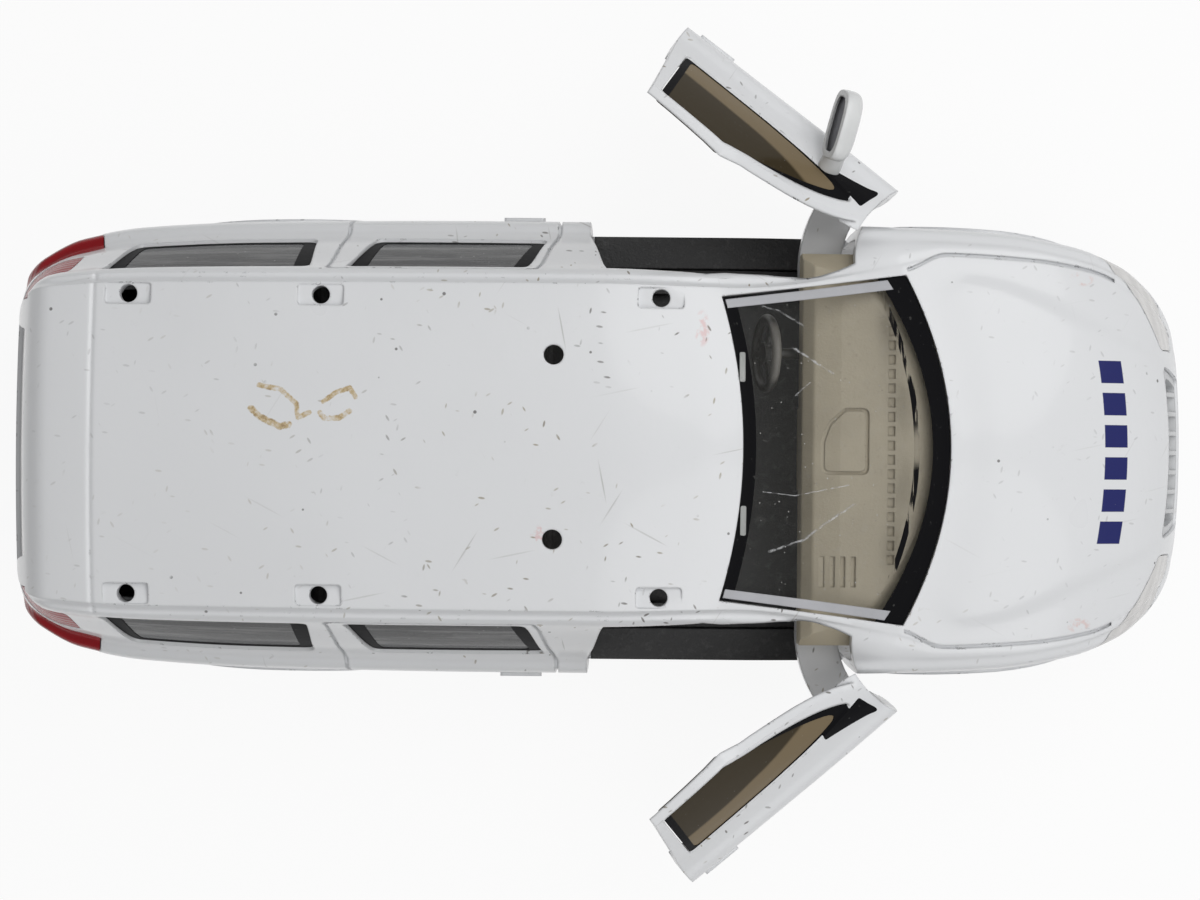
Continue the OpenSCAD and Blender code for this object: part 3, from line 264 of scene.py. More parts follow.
class Bench:
    """Turns solids into Blender meshes and cuts them with each other."""

    sharp_angle = math.radians(32)

    def make(self, name: str, solid: Solid) -> bpy.types.Object:
        """Return a new object for a solid.

        Args:
            name: Name of the object.
            solid: What it is made of.

        Returns:
            The object, at the origin, in metres.
        """
        mesh = bpy.data.meshes.new(name)
        mesh.from_pydata((solid.points * MM).tolist(), [], solid.faces)
        work = bmesh.new()
        work.from_mesh(mesh)
        bmesh.ops.recalc_face_normals(work, faces=work.faces)
        work.to_mesh(mesh)
        work.free()
        thing = bpy.data.objects.new(name, mesh)
        bpy.context.scene.collection.objects.link(thing)
        return thing

    def act(self, base: bpy.types.Object, how: Cut, *tools: Solid | bpy.types.Object) -> bpy.types.Object:
        """Cut, join or trim an object with other solids, one after the other.

        Args:
            base: The object that changes.
            how: What each tool does.
            tools: Solids, or objects that are used up.

        Returns:
            The changed object.
        """
        for tool in tools:
            other = self.make("tool", tool) if isinstance(tool, Solid) else tool
            step = base.modifiers.new("step", "BOOLEAN")
            step.operation = how.value
            step.solver = "MANIFOLD"
            step.object = other
            bpy.context.view_layer.update()
            shaped = base.evaluated_get(bpy.context.evaluated_depsgraph_get())
            old, base.data = base.data, bpy.data.meshes.new_from_object(shaped)
            base.modifiers.clear()
            base.data.name = base.name
            used = other.data
            bpy.data.objects.remove(other)
            for mesh in (old, used):
                bpy.data.meshes.remove(mesh)
        return base

    def smooth(self, thing: bpy.types.Object) -> bpy.types.Object:
        """Shade an object smooth, apart from its sharp edges.

        Args:
            thing: The object.

        Returns:
            The same object.
        """
        thing.data.polygons.foreach_set("use_smooth", [True] * len(thing.data.polygons))
        thing.data.set_sharp_from_angle(angle=self.sharp_angle)
        return thing

    def pose(self, thing: bpy.types.Object, side: Side, at: Point = (0.0, 0.0),
             degrees: float = 0.0) -> bpy.types.Object:
        """Turn a piece that was made closed on the left, and mirror it if it belongs on the right.

        Args:
            thing: The piece.
            side: Side of the car it belongs on.
            at: Place of the upright axis in X and Y.
            degrees: Turn, anticlockwise from above, before any mirroring.

        Returns:
            The same piece.
        """
        count = len(thing.data.vertices)
        flat = np.empty(3 * count)
        thing.data.vertices.foreach_get("co", flat)
        moved = Solid(flat.reshape(-1, 3) / MM, []).turned(at, degrees).points
        moved[:, 1] *= side.value
        thing.data.vertices.foreach_set("co", (moved * MM).ravel())
        if side is Side.RIGHT:
            thing.data.flip_normals()
        thing.data.update()
        return thing


BENCH = Bench()


# The body's form


@dataclass(frozen=True)
class Line:
    """A smooth curve with no overshoot through given points."""

    points: tuple[Point, ...]

    def at(self, x: np.ndarray | float) -> np.ndarray:
        """Return the curve's value at each x.

        Args:
            x: One place or several.

        Returns:
            The values.
        """
        xs, ys = np.array(self.points).T
        secant = np.diff(ys) / np.diff(xs)
        product, total = secant[:-1] * secant[1:], secant[:-1] + secant[1:]
        inner = np.where(product > 0, 2 * product / np.where(total == 0, 1, total), 0)
        slope = np.concatenate([secant[:1], inner, secant[-1:]])
        i = np.clip(np.searchsorted(xs, x, side="right") - 1, 0, len(xs) - 2)
        h = xs[i + 1] - xs[i]
        t = (x - xs[i]) / h
        return (
            (2 * t**3 - 3 * t**2 + 1) * ys[i]
            + (t**3 - 2 * t**2 + t) * slope[i] * h
            + (3 * t**2 - 2 * t**3) * ys[i + 1]
            + (t**3 - t**2) * slope[i + 1] * h
        )


def eased(value: np.ndarray | float) -> np.ndarray:
    """Return a smooth step from 0 to 1 as the value goes from 0 to 1."""
    t = np.clip(value, 0, 1)
    return t * t * (3 - 2 * t)


def swelled(value: float, power: float) -> float:
    """Return a value's size to a power, with its sign kept."""
    return math.copysign(abs(value) ** power, value)


@dataclass
class BodyForm:
    """The car's outer form as a loft of cross-sections, and skins set in from it."""

    length: float
    roof: float
    width: float = 47.8
    shoulder: float = 28.5
    sill: float = 6.5
    roof_width: float = 32.8
    wall: float = 1.4
    roof_front: float = 12.2
    screen_base: float = 31.5
    seam_x: float = -50.8
    seam_depth: float = 0.35
    crease: float = 0.18
    open_drop: float = 4.0

    def __post_init__(self) -> None:
        """Set the curves that the cross-sections follow."""
        e, w, r, s = self.length / 2, self.width / 2, self.roof, self.shoulder
        y, f, b, z0 = self.roof_width / 2, self.roof_front, self.screen_base, self.sill
        self.end, self.half, self.roof_y = e, w, y
        self.window_top, self.window_base, self.bonnet = r - 4.2, s + 2.5, s + 2.7
        h = self.bonnet
        self.plan = Line((
            (-e, w - 11.9), (-e + 0.75, w - 8.7), (-e + 2.25, w - 6.3), (-e + 4.75, w - 4.3), (-e + 8.75, w - 2.3),
            (-e + 15.75, w - 1), (-e + 28.75, w - 0.3), (-10, w), (15, w), (30, w - 0.2), (e - 21.75, w - 0.7),
            (e - 13.75, w - 1.9), (e - 7.75, w - 3.9), (e - 3.75, w - 6.9), (e - 1.25, w - 10.4), (e, w - 14.9)))
        self.spine = Line((
            (-e, 17), (-e + 0.55, 20), (-e + 1.45, 25), (-e + 2.95, 32), (-e + 4.95, r - 6.2), (-e + 6.55, r - 2.6),
            (-e + 8.25, r - 1.3), (-50, r - 0.6), (-25, r), (0, r - 0.2), (8, r - 0.9), (f, r - 2),
            (f + 1.8, r - 3.1), (b - 2, h + 1.2), (b, h), (e - 18.75, h - 2), (e - 9.25, h - 4.4), (e - 4.4, h - 7),
            (e - 2.1, h - 9.7), (e - 0.65, h - 12.7), (e, h - 15.7)))
        self.crown = Line((
            (-e, 1), (-e + 6.75, 1.3), (-45, 1.6), (0, 1.7), (f, 1.5), (22, 2.3), (b, 1.3), (e - 18.75, 1.5),
            (e - 7.75, 1.6), (e - 1.75, 1.6), (e, 0.8)))
        self.edge = Line((
            (-e, 9), (-e + 1.45, 12), (-e + 3.75, y - 2.2), (-e + 7.75, y - 0.8), (-45, y - 0.2), (0, y),
            (f, y - 0.2), (b, w - 4.6), (36, w - 3.5), (e - 18.75, w - 3.9), (e - 11.75, w - 4.9),
            (e - 6.75, w - 7.1), (e - 3.75, w - 9.7), (e - 1.25, w - 13.4), (e, w - 17.4)))
        self.belt = Line((
            (-e, 14.5), (-e + 0.55, 17), (-e + 1.45, 21), (-e + 2.95, s - 2), (-e + 4.95, s), (-50, s + 0.5), (0, s),
            (30, s - 0.5), (e - 18.75, s - 1.7), (e - 11.75, s - 3.3), (e - 6.75, s - 5.9), (e - 3.75, s - 8.3),
            (e - 1.75, s - 10.5), (e - 0.55, s - 12.7), (e, s - 14.5)))
        self.hem = Line((
            (-e, z0 + 4), (-e + 1.75, z0 + 2), (-e + 5.75, z0 + 0.7), (-e + 13.75, z0), (e - 13.75, z0),
            (e - 5.75, z0 + 0.7), (e - 1.75, z0 + 2), (e, z0 + 4)))
        self.bow = Line(((-e, 0), (0, 0), (f, 2.5), (b, 5.2), (e - 18.75, 3), (e - 5.75, 1), (e, 0)))
        self.gutter = Line(((-e, 0), (-59, 0), (-54, 1), (f, 1), (b, 0), (e, 0)))
        self.ridge = Line(((-e, 0), (b, 0), (38, 0.5), (e - 7.75, 0.42), (e - 2.75, 0), (e, 0)))
        self.fold = Line(((-e, 0.8), (b, 0.8), (38, 0.88), (e - 7.75, 0.66), (e, 0.66)))

    def stations(self, plain: bool) -> np.ndarray:
        """Return the places of the cross-sections, close together at the ends and the tailgate seam.

        Args:
            plain: Take a third of them.

        Returns:
            Places along the car, in order.
        """
        e, turn = self.end, np.linspace(0, math.pi / 2, 27)
        seam = self.seam_x + self.seam_depth * np.array([-3, -2, -1.4, -1, -0.6, -0.3, 0, 0.3, 0.6, 1, 1.4, 2, 3])
        parts = [
            -e + 9 * (1 - np.cos(turn)), seam, np.linspace(self.seam_x + 1.4, self.roof_front, 80),
            np.linspace(self.roof_front, self.screen_base, 44)[1:], np.linspace(self.screen_base, e - 14, 30)[1:-1],
            e - 14 * (1 - np.cos(turn[::-1]))]
        xs = np.unique(np.concatenate(parts).round(4))
        return np.concatenate([xs[:-1:3], xs[-1:]]) if plain else xs

    def half_section(self, x: float, depth: float, plain: bool) -> np.ndarray:
        """Return the left half of one cross-section, from the sill to the middle of the roof.

        Args:
            x: Place of the section along the car.
            depth: How far the skin is set in from the outside.
            plain: Leave out what only the outside needs.

        Returns:
            Points in X, Y and Z.
        """
        outside = depth <= 0
        p, zs, z0 = self.plan.at(x) - depth, self.belt.at(x), self.hem.at(x)
        seam = self.crease * math.exp(-(((x - self.seam_x) / (0.6 * self.seam_depth)) ** 2)) if outside else 0
        zc = self.spine.at(x) - seam
        s0 = np.array([p + depth - 1.4, zs + 0.45])
        e0 = np.array([self.edge.at(x), zc - self.crown.at(x)])
        u = (e0 - s0) / np.linalg.norm(e0 - s0)
        s, e = s0 + depth * np.array([-1, u[0]]), e0 - depth * np.array([0.8 * u[1], 1])
        g = self.gutter.at(x) if outside else 0
        ridge, fold = (self.ridge.at(x) if outside else 0), self.fold.at(x)
        flank = ((0, -1), (0.12, 0.1), (0.32, 0.35), (0.55, 0.35), (0.78, 0.2), (0.93, 0))
        foot = self.sill - self.open_drop if depth > 0 else z0
        side = [(p + off, z0 + t * (zs - z0) if t else foot) for t, off in flank]
        roll = [(p - 0.45, zs - 0.1 + depth * u[0] / 2), tuple(s)]
        glass = [tuple(s + t * (e - s) + np.array([0.25, 0.1])) for t in (0.33, 0.67)]
        lip = [tuple(e + g * np.array([a, -0.95]) + (1 - g) * c * (s - e)) for a, c in ((0.95, 0.1), (0.55, 0.05))]
        knots = np.array(side + roll + glass + lip + [tuple(e)])
        reach = np.concatenate([[0], np.cumsum(np.linalg.norm(np.diff(knots, axis=0), axis=1))])
        spans = [1, 2, 2, 2, 1, 1, 2, 2, 2, 2, 1, 1] if plain else [3, 4, 4, 4, 3, 3, 4, 4, 4, 4, 4, 4]
        parts = [np.linspace(a, b, n + 1)[:-1] for a, b, n in zip(reach, reach[1:], spans)]
        steps = np.concatenate([*parts, reach[-1:]])
        flat = np.stack([Line(tuple(zip(reach, knots[:, k]))).at(steps) for k in (0, 1)], 1)
        w = np.linspace(1, 0, 9 if plain else 33)[1:]
        rise = (zc - depth - e[1]) * (1 - w * w) + ridge * eased((fold + 0.055 - w) / 0.11)
        x0 = x * (1 - depth / self.end)
        top = np.stack([x0 + self.bow.at(x) * (1 - w * w), w * e[0], e[1] + rise], 1)
        return np.concatenate([np.insert(flat, 0, x0, axis=1), top])

    def loft(self, depth: float, plain: bool = False) -> Solid:
        """Return the closed solid of the form, set in by a depth.

        Args:
            depth: How far it is set in; a negative depth stands out.
            plain: Make it with fewer faces.

        Returns:
            The solid.
        """
        rings = []
        for x in self.stations(plain):
            h = self.half_section(float(x), depth, plain)
            rings.append(np.concatenate([h, h[-2::-1] * np.array([1, -1, 1])]))
        m, n = len(rings), len(rings[0])
        mids = [(r[0] + r[(n - 1) // 2]) / 2 * np.array([1, 0, 1]) for r in (rings[0], rings[-1])]
        faces: list[tuple[int, ...]] = []
        for i in range(m - 1):
            for k in range(n):
                a, b = i * n + k, i * n + (k + 1) % n
                faces.append((a, a + n, b + n, b))
        faces += [(m * n, k, (k + 1) % n) for k in range(n)]
        faces += [(m * n + 1, (m - 1) * n + (k + 1) % n, (m - 1) * n + k) for k in range(n)]
        return Solid(np.concatenate([*rings, np.array(mids)]), faces)

    def skin(self, name: str, outer: float, inner: float, keep: Solid | bpy.types.Object,
             plain: bool = False) -> bpy.types.Object:
        """Return a skin between two depths, trimmed to a solid.

        Args:
            name: Name of the object.
            outer: Depth of its outer face; a negative depth stands out.
            inner: Depth of its inner face, which is always plain.
            keep: The solid that it is trimmed to, or an object that is used up.
            plain: Make the outer face with fewer faces too.

        Returns:
            The object.
        """
        thing = BENCH.make(name, self.loft(outer, plain))
        BENCH.act(thing, Cut.KEEP, keep)
        return BENCH.act(thing, Cut.AWAY, self.loft(inner, plain=True))

    def layer(self, thing: bpy.types.Object, outer: float, inner: float, plain: bool = False) -> bpy.types.Object:
        """Trim an object to what lies between two depths.

        Args:
            thing: The object.
            outer: Depth of its outer face.
            inner: Depth of its inner face.
            plain: Make the inner face with fewer faces.

        Returns:
            The same object.
        """
        BENCH.act(thing, Cut.KEEP, self.loft(outer))
        return BENCH.act(thing, Cut.AWAY, self.loft(inner, plain))

    def roof_z(self, x: float, y: float) -> float:
        """Return the height of the roof or bonnet at a place in plan."""
        return float(self.spine.at(x) - self.crown.at(x) * (y / self.edge.at(x)) ** 2)


# Outlines that several pieces share


@dataclass
class Outlines:
    """Edges of the windows, doors and lamps, from the form's own heights."""

    form: BodyForm
    hinge: Point = (35.0, 19.5)
    door_rear: float = -1.0
    door_edge: float = 8.8
    door_gap: float = 0.25
    wheel_r: float = 9.5
    axles: Point = (41.0, -34.5)
    screen_margin: float = 0.9
    screen_more: Point = (1.3, 0.9)
    reach: float = 30.0
    depth_in: float = 12.0
    handle_r: float = 0.45
    handle_stand: float = 0.4
    head_shape: tuple[Point, ...] = ((11.0, 19.2), (11.0, 22.6), (18.0, 24.2), (26.0, 24.2), (26.0, 20.4))
    grille_shape: tuple[Point, ...] = ((-9.4, 22.8), (-7.8, 17.2), (7.8, 17.2), (9.4, 22.8))

    @property
    def quarter(self) -> list[Point]:
        """Rear quarter window."""
        t, b = self.form.window_top, self.form.window_base
        return [(-50.8, t), (-29.5, t), (-29.6, b), (-48.4, b)]

    @property
    def rear_door_window(self) -> list[Point]:
        """Window in the rear door."""
        t, b = self.form.window_top, self.form.window_base
        return [(-26.1, t), (-7.6, t), (-5.5, b), (-23.4, b)]

    @property
    def pillar_foot(self) -> Point:
        """Front lower corner of the door's window frame."""
        return (26.9, self.form.window_base + 0.2)

    @property
    def door(self) -> list[Point]:
        """Front door."""
        f, x, sill = self.form, self.door_rear, self.form.sill + 2
        top = f.window_top - 0.1
        return [(x, sill), (x - 0.2, f.shoulder + 0.5), (x + 1.5, top), (f.roof_front - 1.7, top), self.pillar_foot,
                (self.hinge[0] - 5, f.shoulder + 0.5), (self.hinge[0] - 5, sill)]

    @property
    def door_window(self) -> list[Point]:
        """Window in the front door."""
        f, x = self.form, self.door_rear
        return [(x + 2.7, f.window_top - 0.5), (f.roof_front - 2.4, f.window_top - 0.5),
                (self.pillar_foot[0] - 2.2, f.window_base + 0.1), (x + 2.0, f.window_base - 0.3)]

    @property
    def rear_door(self) -> list[Point]:
        """Panel gap round the rear door."""
        f, x = self.form, self.door_rear
        return [(x - 3, f.sill + 2), (x - 3.2, f.shoulder + 0.5), (x - 5.4, f.window_top + 0.8),
                (-27.9, f.window_top + 0.8), (-26.6, f.shoulder), (-24.4, 20), (-21, f.sill + 2)]

    @property
    def tailgate_window(self) -> list[Point]:
        """Window in the tailgate, in Y and Z."""
        top = self.form.roof - 5
        return [(-12.4, 30.5), (12.4, 30.5), (11.4, top), (-11.4, top)]

    def sideways(self, outline: Sequence[Point], radius: float = 1.0) -> Solid:
        """Return an outline on the left flank as a solid that passes through the casting."""
        return across(rounded(outline, radius) if radius else list(outline), self.depth_in, self.reach)

    def screen(self, ends: float = 0.0, sides: float = 0.0, inner: Point | None = None) -> list[Point]:
        """Return the windscreen in plan.

        Args:
            ends: Growth at its curved ends.
            sides: Growth at its straight sides.
            inner: Distances from the base edge, at the middle and at the sides, for a strip along the base.

        Returns:
            The outline.
        """
        f, t = self.form, np.linspace(-1, 1, 41)
        halves = (f.roof_y - 0.2, f.half - 4.6)
        y = [h - self.screen_margin + sides for h in halves]
        top_x = f.roof_front + self.screen_margin - self.screen_more[0] - ends
        foot_x = f.screen_base - self.screen_margin + self.screen_more[1] + ends
        foot = foot_x + 5.2 * (1 - (t * y[1] / halves[1]) ** 2)
        if inner is None:
            top = np.stack([top_x + 2.5 * (1 - (t * y[0] / halves[0]) ** 2), t * y[0]], 1)
        else:
            top = np.stack([foot - inner[1] - (inner[0] - inner[1]) * (1 - t * t), t * y[1]], 1)
        return [tuple(q) for q in np.concatenate([top, np.stack([foot[::-1], t[::-1] * y[1]], 1)])]

    def headlamp(self, grow: float = 0.0) -> Solid:
        """Return the left headlamp's opening."""
        return along(rounded(grown(self.head_shape, grow), 0.8), self.form.end - 12 - grow, self.form.end)

    def tail_lamp(self, grow: float = 0.0) -> list[Solid]:
        """Return the left tail lamp's two openings.

        Args:
            grow: Growth of their edges.

        Returns:
            The two solids.
        """
        x = -self.form.end - 1
        upper = [(x, 33.6), (-53.4, 33.6), (-54.2, 39.6), (x, 39.6)]
        lower = [(x, 22.5), (-54.0, 22.5), (-51.9, 30.8), (x, 32.0)]
        return [across(rounded(grown(s, grow), 0.6), 14.6 - grow, self.reach) for s in (upper, lower)]

    def grille(self, grow: float = 0.0) -> Solid:
        """Return the grille's opening."""
        return along(rounded(grown(self.grille_shape, grow), 0.8), self.form.end - 7, self.form.end + 1)


# Finishes


class Wire:
    """An output of a node; arithmetic on it adds Math nodes."""

    def __init__(self, tree: "Tree", socket: bpy.types.NodeSocket) -> None:
        """Keep the socket and its tree."""
        self.tree, self.socket = tree, socket

    def math(self, operation: str, *values: "Wire | float") -> "Wire":
        """Return the result of a Math node on this value and others."""
        return self.tree.node("ShaderNodeMath", {"operation": operation}, dict(enumerate((self, *values))))

    def __add__(self, other: "Wire | float") -> "Wire":
        """Return the sum."""
        return self.math("ADD", other)

    __radd__ = __add__

    def __sub__(self, other: "Wire | float") -> "Wire":
        """Return the difference."""
        return self.math("SUBTRACT", other)

    def __rsub__(self, other: float) -> "Wire":
        """Return a number less this value."""
        return self.tree.node("ShaderNodeMath", {"operation": "SUBTRACT"}, {0: other, 1: self})

    def __mul__(self, other: "Wire | float") -> "Wire":
        """Return the product."""
        return self.math("MULTIPLY", other)

    __rmul__ = __mul__

    def __truediv__(self, other: "Wire | float") -> "Wire":
        """Return the quotient."""
        return self.math("DIVIDE", other)

    def __pow__(self, other: float) -> "Wire":
        """Return the power."""
        return self.math("POWER", other)

    def ramp(self, low: float, high: float) -> "Wire":
        """Return a smooth step from 0 at low to 1 at high; low may be the larger.

        Args:
            low: Value that gives 0.
            high: Value that gives 1.

        Returns:
            The step.
        """
        if low > high:
            return 1 - self.ramp(high, low)
        return self.tree.node(
            "ShaderNodeMapRange", {"interpolation_type": "SMOOTHSTEP"},
            {"Value": self, "From Min": low, "From Max": high})

    def either(self, other: "Wire | float") -> "Wire":
        """Return the larger of two masks."""
        return self.math("MAXIMUM", other)


class Tree:
    """The node tree of a material or a world, with its one shader."""

    def __init__(self, owner: bpy.types.Material | bpy.types.World) -> None:
        """Start the nodes of a new material or world.

        Args:
            owner: The material or world.
        """
        owner.use_nodes = True
        self.owner = owner
        self.nodes, self.links = owner.node_tree.nodes, owner.node_tree.links
        self.surface = self.nodes.get("Principled BSDF") or self.nodes["Background"]

    @staticmethod
    def material(name: str) -> "Tree":
        """Start a new material."""
        return Tree(bpy.data.materials.new(name))

    def node(self, kind: str, settings: dict[str, Any], inputs: dict[Any, Any], out: int | str = 0) -> Wire:
        """Add a node.

        Args:
            kind: Blender's name for the node's type.
            settings: Its properties, set before its inputs.
            inputs: Values or wires by the input's name or place.
            out: The output that is wanted.

        Returns:
            That output.
        """
        made = self.nodes.new(kind)
        for key, value in settings.items():
            setattr(made, key, value)
        for key, value in inputs.items():
            self.plug(made.inputs[key], value)
        return Wire(self, made.outputs[out])

    def plug(self, socket: bpy.types.NodeSocket, value: Any) -> None:
        """Link a wire to an input or set its value.

        Args:
            socket: The input.
            value: A wire, a number, a vector or a colour.
        """
        if isinstance(value, Wire):
            self.links.new(value.socket, socket)
        elif isinstance(value, tuple) and len(value) == 3 and socket.type == "RGBA":
            socket.default_value = (*value, 1.0)
        else:
            socket.default_value = value

    def set(self, **inputs: Any) -> None:
        """Set inputs of the surface; an underscore stands for a space."""
        for key, value in inputs.items():
            self.plug(self.surface.inputs[key.replace("_", " ")], value)

    def place(self) -> Wire:
        """Return the place on the car, in millimetres."""
        at = self.node("ShaderNodeTexCoord", {}, {}, "Object")
        return self.node("ShaderNodeVectorMath", {"operation": "SCALE"}, {0: at, "Scale": 1 / MM})

    def split(self, vector: Wire) -> list[Wire]:
        """Return a vector's three parts."""
        return [self.node("ShaderNodeSeparateXYZ", {}, {0: vector}, k) for k in range(3)]

    def stretched(self, vector: Wire, turn: float, scale: Colour) -> Wire:
        """Return a place turned about Z and scaled, for grain that runs one way.

        Args:
            vector: The place.
            turn: Turn in degrees.
            scale: Stretch along each axis after the turn.

        Returns:
            The new place.
        """
        return self.node(
            "ShaderNodeMapping", {"vector_type": "TEXTURE"},
            {"Vector": vector, "Rotation": (0, 0, math.radians(turn)), "Scale": scale})

    def noise(self, vector: Wire, scale: float, detail: float = 3.0, rough: float = 0.55) -> Wire:
        """Return cloudy noise from 0 to 1, with scale in cycles a millimetre."""
        return self.node(
            "ShaderNodeTexNoise", {}, {"Vector": vector, "Scale": scale, "Detail": detail, "Roughness": rough})

    def cells(self, vector: Wire, scale: float) -> Wire:
        """Return the distance to the nearest of scattered points, with scale in points a millimetre."""
        return self.node("ShaderNodeTexVoronoi", {"feature": "F1"}, {"Vector": vector, "Scale": scale}, "Distance")

    def mix(self, factor: Wire | float, a: Wire | Colour, b: Wire | Colour) -> Wire:
        """Return a colour between two others."""
        return self.node("ShaderNodeMix", {"data_type": "RGBA"}, {0: factor, 6: a, 7: b}, 2)

    def spot(self, x: Wire, y: Wire, at: Point, size: Point) -> Wire:
        """Return a mask that is 1 in the middle of an ellipse in plan and 0 outside it."""
        return ((((x - at[0]) / size[0]) ** 2) + (((y - at[1]) / size[1]) ** 2)).ramp(1.0, 0.35)

    def stroke(self, x: Wire, y: Wire, path: Sequence[Point], width: float) -> Wire:
        """Return a mask along a path in plan.

        Args:
            x: Place along the car.
            y: Place across the car.
            path: Points of the path.
            width: Half width at which the mask ends.

        Returns:
            The mask.
        """
        marks = []
        for (ax, ay), (bx, by) in zip(path, path[1:]):
            dx, dy = bx - ax, by - ay
            px, py = x - ax, y - ay
            part = ((px * dx + py * dy) / (dx * dx + dy * dy)).math("MINIMUM", 1.0).math("MAXIMUM", 0.0)
            gap = ((px - part * dx) ** 2 + (py - part * dy) ** 2).math("SQRT")
            marks.append(gap.ramp(width, 0.3 * width))
        mask = marks[0]
        for other in marks[1:]:
            mask = mask.either(other)
        return mask

    def bump(self, height: Wire, distance: float, normal: Wire | None = None) -> None:
        """Give the surface a relief, with distance in millimetres.

        Args:
            height: The relief, about 0 to 1.
            distance: Height that 1 stands for.
            normal: Normals that it adds to.
        """
        inputs: dict[str, Any] = {"Height": height, "Distance": distance * MM, "Strength": 1.0}
        if normal is not None:
            inputs["Normal"] = normal
        self.plug(self.surface.inputs["Normal"], self.node("ShaderNodeBump", {}, inputs))

    def soft_edge(self, radius: float) -> Wire:
        """Return normals that round off sharp edges by a radius in millimetres."""
        return self.node("ShaderNodeBevel", {"samples": 4}, {"Radius": radius * MM})

    def edges(self, rounded_normal: Wire) -> Wire:
        """Return how strongly the normal is rounded off, which is high on edges.

        Args:
            rounded_normal: What soft_edge gave.

        Returns:
            The mask.
        """
        flat = self.node("ShaderNodeNewGeometry", {}, {}, "Normal")
        same = self.node("ShaderNodeVectorMath", {"operation": "DOT_PRODUCT"}, {0: rounded_normal, 1: flat}, "Value")
        return 1 - same


class Finish:
    """A surface finish that makes its material once."""

    name: str
    _made: dict["Finish", bpy.types.Material] = {}

    def material(self) -> bpy.types.Material:
        """Return the finish's material.

        Returns:
            The material, made at the first call.
        """
        if self not in Finish._made:
            t = Tree.material(self.name)
            self.paint(t, t.place())
            Finish._made[self] = t.owner
        return Finish._made[self]

    def paint(self, t: Tree, at: Wire) -> None:
        """Set up the material.

        Args:
            t: The material's tree.
            at: The place on the car as a vector, in millimetres.
        """
        raise NotImplementedError

    def dress(self, thing: bpy.types.Object) -> bpy.types.Object:
        """Give an object this finish alone.

        Args:
            thing: The object.

        Returns:
            The same object.
        """
        thing.data.materials.clear()
        thing.data.materials.append(self.material())
        return thing


